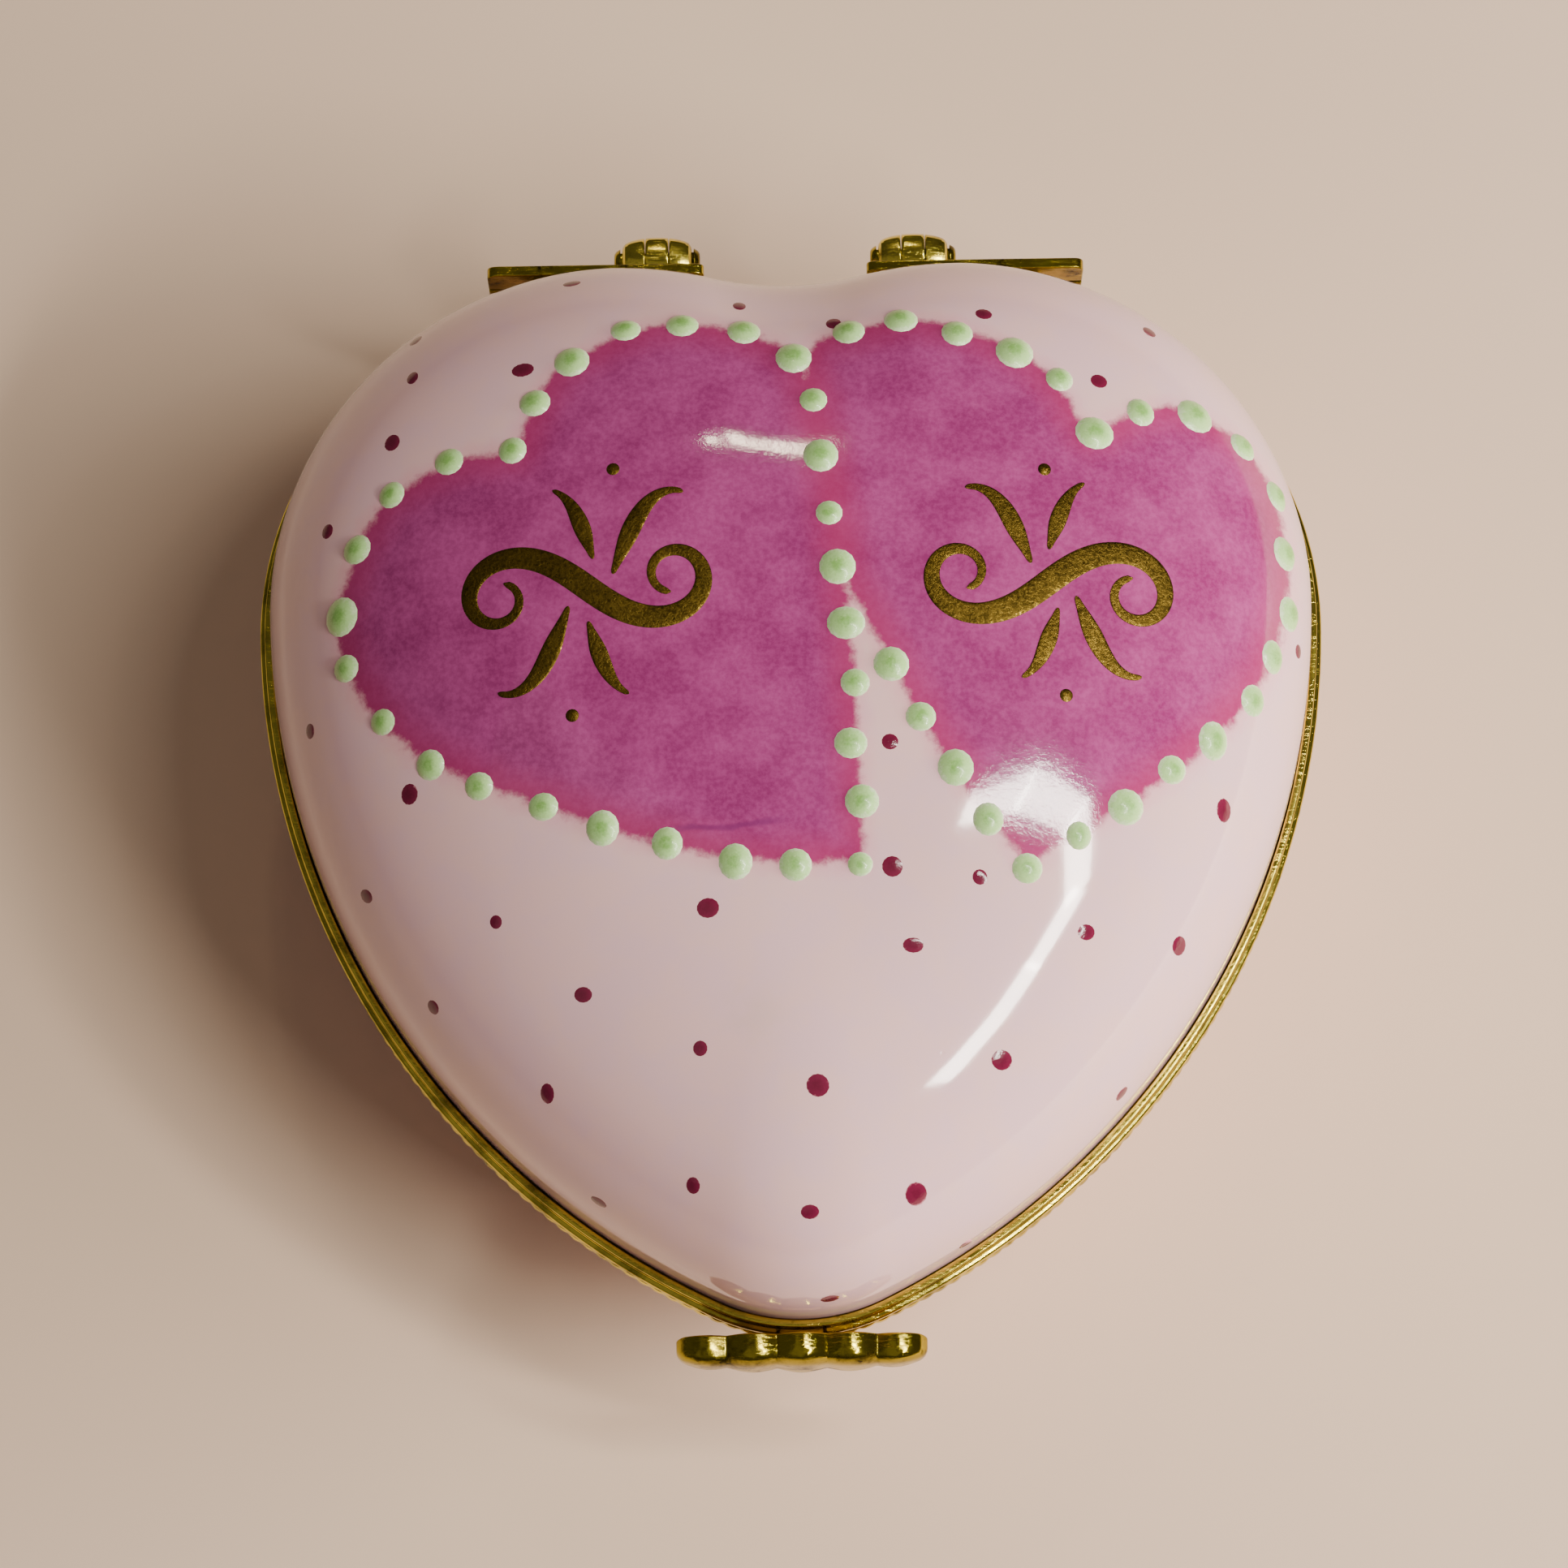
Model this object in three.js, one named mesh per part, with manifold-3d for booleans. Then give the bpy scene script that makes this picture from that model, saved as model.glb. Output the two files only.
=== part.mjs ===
// A heart-shaped porcelain trinket box: a domed lid on a footed bowl, each edged with a brass channel.
// Two small hinges join the channels behind the lobes, and a fluted shell clasp closes them at the point.
// Millimetres. X runs across the heart, -Y is the point with the clasp, +Z is up.
// The box stands on z = 0, with its origin under the middle of its overall width and depth.
import * as THREE from "three";
import { mergeVertices } from "three/addons/utils/BufferGeometryUtils.js";
import Module from "manifold-3d";

const wasm = await Module();
wasm.setup();

// Porcelain outline, in plan
const HEART_WIDTH = 56.4;
const HEART_DEPTH = 57.4;
const LOBE_RADIUS = 19;
const TIP_RADIUS = 10;
const SIDE_RADIUS = 42;
const CLEFT_RADIUS = 17;

// Heights
const PARTING_Z = 14.5; // the plane where lid and bowl meet
const TOTAL_HEIGHT = 31.5;
const PARTING_GAP = 0.15; // from the parting plane to each channel

// Porcelain walls
const EDGE_WALL = 2.4; // where the channel grips it
const DOME_WALL = 2.8;
const FLOOR_THICKNESS = 2.6;
const FOOT_SCALE = 0.74; // outer edge of the foot ring, as a share of the outline
const FOOT_RING_SCALE = 0.1; // width of the foot ring, on the same measure
const FOOT_HEIGHT = 1.2;
const FOOT_RECESS = 0.8;
const BOWL_STRAIGHT = 2.4; // upright wall under the channel, before the bowl turns in
const LID_STRAIGHT = 2.6; // upright wall over the channel, before the dome turns in
const DOME_SQUARENESS = 2.6; // exponent of the dome's section: 2 is an ellipse, more is fuller
const BOWL_SQUARENESS = 2.1;

// Brass channels
const RIM_PROUD = 0.8; // how far the brass stands out from the porcelain
const RIM_HEIGHT = 1.3;
const RIM_SKIN = 0.6; // web and inner leg
const RIM_CHAMFER = 0.25;
const FIT_GAP = 0.1; // bedding between brass and porcelain, and at soldered faces

// Hinges
const LEAF_INNER_X = 4.5;
const LEAF_OUTER_X = 16.5;
const LEAF_THICKNESS = 0.6;
const LEAF_HEIGHT = 2.2;
const LEAF_CORNER = 0.6; // cut off each upper corner
const LEAF_FULL_X = 9.9; // outside this the leaf reaches down to the parting plane
const SADDLE_OUTER_X = 14; // the soldered wedge between leaf and channel ends here
const KNUCKLE_RADIUS = 1.35; // at the middle of the barrel
const KNUCKLE_END_RADIUS = 0.95; // where the barrel ends
const KNUCKLE_START_X = 5.2;
const KNUCKLE_LENGTH = 1.2;
const KNUCKLE_GAP = 0.12;
const KNUCKLE_BORE_RADIUS = 0.6;
const PIN_RADIUS = 0.52;
const PIN_HEAD_RADIUS = 0.85;
const PIN_HEAD_LENGTH = 0.35;
const HINGE_STANDOFF = 3; // from the channel to the back of the barrel
const OWN_KNUCKLE_GAP = 1.05; // height of a leaf's edge over the pin line, at its own knuckle
const OTHER_KNUCKLE_GAP = 1.45; // and at the other leaf's knuckles

// Clasp
const CLASP_WIDTH = 13.3;
const CLASP_FLUTES = 5;
const CLASP_PLATE = 1.1; // behind the flutes, at the middle
const CLASP_TAPER = 0.5; // how much thinner the plate is at its ends
const FLUTE_DEPTH = 0.6;
const SCALLOP_DEPTH = 0.35; // of the edge between two flutes
const CLASP_HEIGHT = 2.5; // each half, at its middle flute
const CLASP_END_HEIGHT = 1.5; // each half, at its ends
const TONGUE_WIDTH = 2.4;
const TONGUE_THICKNESS = 0.35;
const TONGUE_RISE = 1.5; // above the parting plane
const TONGUE_DROP = 1.7; // below it
const TONGUE_SLOT_WIDTH = 1.1;
const POCKET_CLEARANCE = 0.2;
const NIB_RADIUS = 0.38;
const NIB_DROP = 1.05; // below the parting plane

// Where the outline sits, so that hinge and clasp reach equally far from the origin
const CLASP_STANDOFF = FIT_GAP + CLASP_PLATE + FLUTE_DEPTH;
const overallDepth = HEART_DEPTH + 2 * RIM_PROUD + HINGE_STANDOFF + CLASP_STANDOFF;
const rimBackY = overallDepth / 2 - HINGE_STANDOFF;
const rimFrontY = CLASP_STANDOFF - overallDepth / 2;
const hingeY = rimBackY + HINGE_STANDOFF - KNUCKLE_RADIUS;

// Facets
const TIP_STEPS = 5;
const SIDE_STEPS = 10;
const LOBE_STEPS = 13;
const CLEFT_STEPS = 5;
const DOME_STEPS = 10;
const BARREL_STEPS = 3;
const SADDLE_STEPS = 5;
const ROUND_SEGMENTS = 24;

const GLAZE_PINK = 0xe2cdd3;
const BRASS = 0xc2a24a;

/** Centres of the outline's arcs, each tangent to the next: right lobe, rounded point, right side, cleft. */
function outlineArcs() {
  const lobe = new THREE.Vector2(HEART_WIDTH / 2 - LOBE_RADIUS, rimBackY - RIM_PROUD - LOBE_RADIUS);
  const tip = new THREE.Vector2(0, rimFrontY + RIM_PROUD + TIP_RADIUS);
  // The side arc holds the lobe and tip circles inside it, so its centre is found from two distances.
  const span = lobe.clone().sub(tip);
  const toTip = SIDE_RADIUS - TIP_RADIUS;
  const toLobe = SIDE_RADIUS - LOBE_RADIUS;
  const along = (toTip ** 2 - toLobe ** 2 + span.lengthSq()) / (2 * span.length());
  const across = Math.sqrt(toTip ** 2 - along ** 2);
  const unit = span.clone().normalize();
  const left = new THREE.Vector2(-unit.y, unit.x);
  const side = tip.clone().addScaledVector(unit, along).addScaledVector(left, across);
  const cleftRise = Math.sqrt((LOBE_RADIUS + CLEFT_RADIUS) ** 2 - lobe.x ** 2);
  const cleft = new THREE.Vector2(0, lobe.y + cleftRise);
  return { lobe, tip, side, cleft };
}

const arcs = outlineArcs();
const angleOf = (from, to) => Math.atan2(to.y - from.y, to.x - from.x);
const heartCentre = new THREE.Vector2(0, arcs.lobe.y - 6);

/** Points of one arc, leaving its last point to the next arc. */
function arcPoints(centre, radius, start, end, steps) {
  return Array.from({ length: steps }, (_, i) => {
    const angle = start + ((end - start) * i) / steps;
    return new THREE.Vector2(centre.x + radius * Math.cos(angle), centre.y + radius * Math.sin(angle));
  });
}

/** The heart's outline moved outwards by offset, anticlockwise from the point. */
function heartOutline(offset = 0) {
  const { lobe, tip, side, cleft } = arcs;
  const sideStart = angleOf(side, tip);
  const sideEnd = angleOf(side, lobe);
  const lobeEnd = angleOf(lobe, cleft);
  const right = [
    ...arcPoints(tip, TIP_RADIUS + offset, -Math.PI / 2, sideStart, TIP_STEPS),
    ...arcPoints(side, SIDE_RADIUS + offset, sideStart, sideEnd, SIDE_STEPS),
    ...arcPoints(lobe, LOBE_RADIUS + offset, sideEnd, lobeEnd, LOBE_STEPS),
    ...arcPoints(cleft, CLEFT_RADIUS - offset, lobeEnd - Math.PI, -Math.PI / 2, CLEFT_STEPS),
  ];
  const cleftPoint = new THREE.Vector2(0, cleft.y - CLEFT_RADIUS + offset);
  const mirrored = right.slice(1).reverse().map((p) => new THREE.Vector2(-p.x, p.y));
  return [...right, cleftPoint, ...mirrored];
}

/** One level of a shell: the outline shrunk by scale, growing rounder towards the middle. */
function ring(z, scale = 1, offset = 0) {
  const share = THREE.MathUtils.smoothstep(scale, 0, 0.95);
  const roundRadius = HEART_WIDTH / 2 + offset;
  return heartOutline(offset).map((p) => {
    const arm = p.clone().sub(heartCentre);
    const round = arm.clone().setLength(roundRadius);
    const blended = round.lerp(arm, share).multiplyScalar(scale).add(heartCentre);
    return new THREE.Vector3(blended.x, blended.y, z);
  });
}

/** A closed surface through rings of equal count. Poles close its ends; without them it is a hoop. */
function loft(rings, poles = null) {
  const columns = rings[0].length;
  const points = rings.flat();
  const faces = [];
  const joins = poles ? rings.length - 1 : rings.length;
  for (let r = 0; r < joins; r++) {
    const next = (r + 1) % rings.length;
    for (let c = 0; c < columns; c++) {
      const d = (c + 1) % columns;
      const [a, b, e, f] = [r * columns + c, r * columns + d, next * columns + d, next * columns + c];
      faces.push(a, b, e, a, e, f);
    }
  }
  if (poles) {
    const first = points.push(poles[0]) - 1;
    const last = points.push(poles[1]) - 1;
    const lastRing = (rings.length - 1) * columns;
    for (let c = 0; c < columns; c++) {
      const d = (c + 1) % columns;
      faces.push(first, d, c, last, lastRing + c, lastRing + d);
    }
  }
  const geometry = new THREE.BufferGeometry().setFromPoints(points);
  geometry.setIndex(faces);
  return geometry;
}

/** A quarter of a superellipse from its foot to its crown, as [radial share, height share] pairs. */
function crownCurve(exponent, steps) {
  return Array.from({ length: steps }, (_, i) => {
    const angle = (i / steps) * (Math.PI / 2);
    return [Math.cos(angle) ** (2 / exponent), Math.sin(angle) ** (2 / exponent)];
  });
}

function middle(z) {
  return new THREE.Vector3(heartCentre.x, heartCentre.y, z);
}

/** The lid: a hollow pillow dome, open below. */
function lidPorcelain() {
  const edgeZ = PARTING_Z + PARTING_GAP + RIM_SKIN + FIT_GAP;
  const springZ = PARTING_Z + LID_STRAIGHT;
  const curve = crownCurve(DOME_SQUARENESS, DOME_STEPS);
  const outer = curve.map(([s, h]) => ring(springZ + h * (TOTAL_HEIGHT - springZ), s));
  const innerTop = TOTAL_HEIGHT - DOME_WALL;
  const inner = curve.map(([s, h]) => ring(springZ + h * (innerTop - springZ), s, -EDGE_WALL));
  const rings = [...inner.reverse(), ring(edgeZ, 1, -EDGE_WALL), ring(edgeZ), ...outer];
  return loft(rings, [middle(innerTop), middle(TOTAL_HEIGHT)]);
}

/** The bowl: upright at the channel, turning in to a foot ring round a shallow recess. */
function basePorcelain() {
  const edgeZ = PARTING_Z - PARTING_GAP - RIM_SKIN - FIT_GAP;
  const turnZ = edgeZ - BOWL_STRAIGHT;
  const footInner = FOOT_SCALE - FOOT_RING_SCALE;
  const footTaper = 0.02;
  const curve = crownCurve(BOWL_SQUARENESS, DOME_STEPS);
  // The outside turns in only as far as the foot; the inside closes at the middle of the floor.
  const outer = curve.map(([s, h]) => {
    return ring(turnZ - h * (turnZ - FOOT_HEIGHT), FOOT_SCALE + s * (1 - FOOT_SCALE));
  });
  const inner = curve.map(([s, h]) => ring(turnZ - h * (turnZ - FLOOR_THICKNESS), s, -EDGE_WALL));
  const rings = [
    ring(FOOT_RECESS, footInner - footTaper),
    ring(0, footInner),
    ring(0, FOOT_SCALE - footTaper),
    ring(FOOT_HEIGHT, FOOT_SCALE),
    ...outer.reverse(),
    ring(edgeZ),
    ring(edgeZ, 1, -EDGE_WALL),
    ...inner,
  ];
  return loft(rings, [middle(FOOT_RECESS), middle(FLOOR_THICKNESS)]);
}

/** A brass channel over a porcelain edge. side is 1 for the lid's and -1 for the bowl's. */
function rimChannel(side) {
  const near = PARTING_GAP;
  const web = near + RIM_SKIN;
  const far = near + RIM_HEIGHT;
  const inside = -EDGE_WALL - FIT_GAP;
  const section = [
    [FIT_GAP, far],
    [FIT_GAP, web],
    [inside, web],
    [inside, far],
    [inside - RIM_SKIN, far],
    [inside - RIM_SKIN, near],
    [RIM_PROUD - RIM_CHAMFER, near],
    [RIM_PROUD, near + RIM_CHAMFER],
    [RIM_PROUD, far - RIM_CHAMFER],
    [RIM_PROUD - RIM_CHAMFER, far],
  ];
  const rings = section.map(([offset, h]) => ring(PARTING_Z + side * h, 1, offset));
  return loft(side > 0 ? rings : rings.reverse());
}

/** A closed geometry as a manifold solid. */
function solid(geometry) {
  const bare = geometry.clone();
  bare.deleteAttribute("normal");
  bare.deleteAttribute("uv");
  const merged = mergeVertices(bare, 1e-4);
  return new wasm.Manifold(
    new wasm.Mesh({
      numProp: 3,
      vertProperties: merged.attributes.position.array,
      triVerts: new Uint32Array(merged.index.array),
    }),
  );
}

function geometryOf(manifold) {
  const { vertProperties, triVerts } = manifold.getMesh();
  return new THREE.BufferGeometry()
    .setAttribute("position", new THREE.BufferAttribute(vertProperties, 3))
    .setIndex(new THREE.BufferAttribute(triVerts, 1));
}

/** Plan outline raised from z = low to z = high. */
function plateInPlan(points, low, high) {
  const depth = high - low;
  const geometry = new THREE.ExtrudeGeometry(new THREE.Shape(points), { depth, bevelEnabled: false });
  return geometry.translate(0, 0, low);
}

/** Outline in X and Z given thickness from y = front back towards +Y. */
function plateInElevation(points, front, thickness) {
  const shape = new THREE.Shape(points);
  const geometry = new THREE.ExtrudeGeometry(shape, { depth: thickness, bevelEnabled: false });
  return geometry.rotateX(Math.PI / 2).translate(0, front + thickness, 0);
}

/** Where the hinge's three knuckles start and end along X, from the cleft outwards. */
const knuckleSpans = [0, 1, 2].map((i) => {
  const start = KNUCKLE_START_X + i * (KNUCKLE_LENGTH + KNUCKLE_GAP);
  return [start, start + KNUCKLE_LENGTH];
});
const barrelEndX = knuckleSpans[2][1];

/** A hinge leaf: an upright strip whose edge steps over the knuckles, and a saddle under its far end. */
function hingeLeaf(side, isLid) {
  const [low, top] = [PARTING_GAP, PARTING_GAP + LEAF_HEIGHT];
  const steps = knuckleSpans.map((span, i) => {
    const own = (i === 1) === isLid;
    return [span, own ? OWN_KNUCKLE_GAP : OTHER_KNUCKLE_GAP];
  });
  const halfGap = KNUCKLE_GAP / 2;
  const edge = [[LEAF_INNER_X, steps[0][1]]];
  steps.slice(1).forEach(([[start], height], i) => {
    edge.push([start - halfGap, steps[i][1]], [start - halfGap, height]);
  });
  edge.push([LEAF_FULL_X, steps[2][1]], [LEAF_FULL_X, low], [LEAF_OUTER_X, low]);
  edge.push([LEAF_OUTER_X, top - LEAF_CORNER], [LEAF_OUTER_X - LEAF_CORNER, top]);
  edge.push([LEAF_INNER_X + LEAF_CORNER, top], [LEAF_INNER_X, top - LEAF_CORNER]);
  const up = isLid ? 1 : -1;
  const elevation = edge.map(([x, h]) => new THREE.Vector2(side * x, PARTING_Z + up * h));
  const leafFront = rimBackY + FIT_GAP;
  const strip = solid(plateInElevation(elevation, leafFront, LEAF_THICKNESS));

  const reach = LOBE_RADIUS + RIM_PROUD + FIT_GAP;
  const rimSide = Array.from({ length: SADDLE_STEPS + 1 }, (_, i) => {
    const x = LEAF_FULL_X + ((SADDLE_OUTER_X - LEAF_FULL_X) * i) / SADDLE_STEPS;
    const y = arcs.lobe.y + Math.sqrt(reach ** 2 - (x - arcs.lobe.x) ** 2);
    return new THREE.Vector2(side * x, y);
  });
  const inStrip = leafFront + LEAF_THICKNESS / 2;
  rimSide.push(new THREE.Vector2(side * SADDLE_OUTER_X, inStrip));
  rimSide.push(new THREE.Vector2(side * LEAF_FULL_X, inStrip));
  const heights = [PARTING_Z + up * low, PARTING_Z + up * RIM_HEIGHT].sort((a, b) => a - b);
  return geometryOf(strip.add(solid(plateInPlan(rimSide, ...heights))));
}

/** Radius of the barrel at x: the three knuckles together swell like a small cask. */
function barrelRadius(x) {
  const middleX = (KNUCKLE_START_X + barrelEndX) / 2;
  const reach = (x - middleX) / (barrelEndX - middleX);
  return KNUCKLE_END_RADIUS + (KNUCKLE_RADIUS - KNUCKLE_END_RADIUS) * Math.sqrt(1 - reach ** 2);
}

/** One knuckle, a ring of revolution about the pin line from x = start to end. */
function hingeKnuckle(side, [start, end]) {
  const outside = Array.from({ length: BARREL_STEPS + 1 }, (_, i) => {
    const x = start + ((end - start) * i) / BARREL_STEPS;
    return [barrelRadius(x), x];
  });
  const bore = [end, start].map((x) => [KNUCKLE_BORE_RADIUS, x]);
  return aboutPinLine([bore[1], ...outside, ...bore], side);
}

/** The pin, with a domed head beyond each end of the barrel. */
function hingePin(side) {
  const inner = KNUCKLE_START_X - KNUCKLE_GAP;
  const outer = barrelEndX + KNUCKLE_GAP;
  const headStep = PIN_HEAD_LENGTH / 2;
  const dome = PIN_HEAD_RADIUS * 0.7;
  const profile = [
    [0, inner - PIN_HEAD_LENGTH],
    [dome, inner - PIN_HEAD_LENGTH],
    [PIN_HEAD_RADIUS, inner - headStep],
    [PIN_HEAD_RADIUS, inner],
    [PIN_RADIUS, inner],
    [PIN_RADIUS, outer],
    [PIN_HEAD_RADIUS, outer],
    [PIN_HEAD_RADIUS, outer + headStep],
    [dome, outer + PIN_HEAD_LENGTH],
    [0, outer + PIN_HEAD_LENGTH],
  ];
  return aboutPinLine(profile, side);
}

/** Revolves [radius, distance along X] pairs about the pin line, on the right (side 1) or left (-1). */
function aboutPinLine(profile, side) {
  const along = profile.map(([r, x]) => new THREE.Vector2(r, side * x));
  const points = side > 0 ? along : along.reverse();
  const turned = new THREE.LatheGeometry(points, ROUND_SEGMENTS).rotateZ(-Math.PI / 2);
  return turned.translate(0, hingeY, PARTING_Z);
}

const claspBackY = rimFrontY - FIT_GAP;

/** Height of the shell's scalloped outline at x, from 0 in a valley to 1 on a ridge. */
function fluteAt(x) {
  const pitch = CLASP_WIDTH / CLASP_FLUTES;
  return Math.abs(Math.cos((Math.PI * x) / pitch));
}

/** One half of the fluted shell. up is 1 for the lid's half and -1 for the bowl's. */
function claspShell(up) {
  const steps = CLASP_FLUTES * 8;
  const half = CLASP_WIDTH / 2;
  const xs = Array.from({ length: steps + 1 }, (_, i) => -half + (CLASP_WIDTH * i) / steps);
  const front = xs.map((x) => {
    const drawIn = CLASP_TAPER * (x / half) ** 2;
    return new THREE.Vector2(x, claspBackY - CLASP_PLATE + drawIn - FLUTE_DEPTH * fluteAt(x));
  });
  const plan = [...front, new THREE.Vector2(half, claspBackY), new THREE.Vector2(-half, claspBackY)];
  const crownRise = CLASP_HEIGHT - CLASP_END_HEIGHT;
  const edge = xs.map((x) => {
    const crown = CLASP_END_HEIGHT + crownRise * Math.cos((Math.PI * x) / CLASP_WIDTH);
    const scallop = SCALLOP_DEPTH * (1 - fluteAt(x));
    return new THREE.Vector2(x, PARTING_Z + up * (PARTING_GAP + crown - scallop));
  });
  const nearZ = PARTING_Z + up * PARTING_GAP;
  const elevation = [...edge, new THREE.Vector2(half, nearZ), new THREE.Vector2(-half, nearZ)];
  // Both prisms run well past the shell, whose form is what they share.
  const body = solid(plateInPlan(plan, PARTING_Z - 2 * CLASP_HEIGHT, PARTING_Z + 2 * CLASP_HEIGHT));
  const mask = solid(plateInElevation(elevation, claspBackY - 2 * CLASP_STANDOFF, 3 * CLASP_STANDOFF));
  return geometryOf(body.intersect(mask).subtract(solid(tonguePocket())));
}

/** The slot that both halves leave behind for the tongue, open at the back. */
function tonguePocket() {
  const width = TONGUE_WIDTH + 2 * POCKET_CLEARANCE;
  const depth = TONGUE_THICKNESS + 2 * POCKET_CLEARANCE;
  const low = PARTING_Z - TONGUE_DROP - POCKET_CLEARANCE;
  const high = PARTING_Z + TONGUE_RISE + FIT_GAP;
  const reach = 1; // past the back face, so that the cut is open
  return new THREE.BoxGeometry(width, depth + reach, high - low).translate(
    0,
    claspBackY - depth / 2 + reach / 2,
    (low + high) / 2,
  );
}

/** A spring strip fixed in the lid's half, forked below the parting plane to straddle the nib. */
function claspTongue() {
  const half = TONGUE_WIDTH / 2;
  const slot = TONGUE_SLOT_WIDTH / 2;
  const slotTop = PARTING_Z - NIB_DROP + NIB_RADIUS + POCKET_CLEARANCE;
  const foot = PARTING_Z - TONGUE_DROP;
  const elevation = [
    [-half, PARTING_Z + TONGUE_RISE],
    [-half, foot],
    [-slot, foot],
    [-slot, slotTop],
    [slot, slotTop],
    [slot, foot],
    [half, foot],
    [half, PARTING_Z + TONGUE_RISE],
  ].map(([x, z]) => new THREE.Vector2(x, z));
  return plateInElevation(elevation, claspBackY - POCKET_CLEARANCE - TONGUE_THICKNESS, TONGUE_THICKNESS);
}

/** The stud that the tongue's fork closes on, standing in the pocket of the bowl's half. */
function claspNib() {
  const length = TONGUE_THICKNESS + POCKET_CLEARANCE;
  const startY = claspBackY - 2 * POCKET_CLEARANCE - TONGUE_THICKNESS + FIT_GAP / 2;
  return new THREE.CylinderGeometry(NIB_RADIUS, NIB_RADIUS, length, ROUND_SEGMENTS).translate(
    0,
    startY + length / 2,
    PARTING_Z - NIB_DROP,
  );
}

const glaze = new THREE.MeshStandardMaterial({ color: GLAZE_PINK, roughness: 0.12, metalness: 0 });
const brass = new THREE.MeshStandardMaterial({ color: BRASS, roughness: 0.25, metalness: 1 });

function piece(name, geometry, material) {
  const mesh = new THREE.Mesh(geometry, material);
  mesh.name = name;
  return mesh;
}

const box = new THREE.Group();
box.add(
  piece("lid_porcelain", lidPorcelain(), glaze),
  piece("base_porcelain", basePorcelain(), glaze),
  piece("lid_rim", rimChannel(1), brass),
  piece("base_rim", rimChannel(-1), brass),
  piece("clasp_upper_shell", claspShell(1), brass),
  piece("clasp_lower_shell", claspShell(-1), brass),
  piece("clasp_tongue", claspTongue(), brass),
  piece("clasp_nib", claspNib(), brass),
);

for (const [label, side] of [["left", -1], ["right", 1]]) {
  const hinge = new THREE.Group();
  const [inner, mid, outer] = knuckleSpans;
  hinge.add(
    piece(`${label}_hinge_lid_leaf`, hingeLeaf(side, true), brass),
    piece(`${label}_hinge_base_leaf`, hingeLeaf(side, false), brass),
    piece(`${label}_hinge_lid_knuckle`, hingeKnuckle(side, mid), brass),
    piece(`${label}_hinge_base_knuckle_inner`, hingeKnuckle(side, inner), brass),
    piece(`${label}_hinge_base_knuckle_outer`, hingeKnuckle(side, outer), brass),
    piece(`${label}_hinge_pin`, hingePin(side), brass),
  );
  box.add(hinge);
}

export default box;
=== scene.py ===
"""A heart-shaped porcelain trinket box: a painted dome lid on a footed bowl, both bound in brass.

Shapes are worked out in millimetres in the box's own frame, where X runs across the heart, -Y is its
point and +Z is up, and they become metres only when a mesh is made.
"""

import logging
import math
from dataclasses import dataclass, field
from enum import Enum
from functools import cached_property

import bpy
import numpy as np
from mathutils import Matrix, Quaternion, Vector


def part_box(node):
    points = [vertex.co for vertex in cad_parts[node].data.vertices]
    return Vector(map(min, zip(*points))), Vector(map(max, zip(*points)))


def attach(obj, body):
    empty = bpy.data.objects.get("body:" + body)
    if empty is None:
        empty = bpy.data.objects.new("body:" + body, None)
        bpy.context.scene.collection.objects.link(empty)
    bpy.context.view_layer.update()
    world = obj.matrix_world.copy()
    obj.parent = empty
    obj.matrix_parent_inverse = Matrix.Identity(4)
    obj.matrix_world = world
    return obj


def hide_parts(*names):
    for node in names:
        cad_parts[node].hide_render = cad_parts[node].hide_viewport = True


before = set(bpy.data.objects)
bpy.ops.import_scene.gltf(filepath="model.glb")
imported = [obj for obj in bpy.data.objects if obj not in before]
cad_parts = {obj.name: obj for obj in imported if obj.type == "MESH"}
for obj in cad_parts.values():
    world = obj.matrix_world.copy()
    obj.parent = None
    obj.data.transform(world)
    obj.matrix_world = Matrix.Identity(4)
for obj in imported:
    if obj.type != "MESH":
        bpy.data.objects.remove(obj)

MM = 0.001
BASE, LID = "base", "lid"
TAU = 2.0 * math.pi
EASED_EDGE = 0.09
CREASE_DEGREES = 42.0  # faces that meet at more than this keep a crisp edge
FLOAT, COLOUR, VECTOR = "NodeSocketFloat", "NodeSocketColor", "NodeSocketVector"

# Names of the values that points carry for the materials to read.
PAINT_DEPTH, PAINT_EDGE = "paint_depth", "paint_edge"
INSIDE, BARE_CLAY, DOT_SHARE = "inside", "bare_clay", "dot_share"

Array = np.ndarray
Colour = tuple[float, float, float]
Place = tuple[float, float, float]
Pair = tuple[float, float]
Material = bpy.types.Material
Socket = bpy.types.NodeSocket
Value = float | Colour | Socket
log = logging.getLogger("trinket_box")


# ---------------------------------------------------------------------------------------------------
# Meshes from grids of points
# ---------------------------------------------------------------------------------------------------


class Closing(Enum):
    """How a stack of rings is closed: by a point at each end, or by joining its last ring to its first."""

    POLES = "poles"
    HOOP = "hoop"


@dataclass
class Solid:
    """Points in millimetres, the faces between them, and the named values that the points carry."""

    points: Array
    quads: Array
    triangles: Array
    values: dict[str, Array] = field(default_factory=dict)

    def volume(self) -> float:
        """Signed volume by the divergence theorem: positive where the faces point outwards.

        Returns:
            Cubic millimetres.
        """
        halves = [self.quads[:, [0, 1, 2]], self.quads[:, [0, 2, 3]], self.triangles]
        a, b, c = (self.points[np.concatenate(halves)[:, i]] for i in range(3))
        return float(np.einsum("ij,ij->i", a, np.cross(b, c)).sum() / 6.0)

    def facing_out(self) -> "Solid":
        """The same solid with its faces turned outwards."""
        flipped = Solid(self.points, self.quads[:, ::-1], self.triangles[:, ::-1], self.values)
        return self if self.volume() >= 0.0 else flipped


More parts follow.
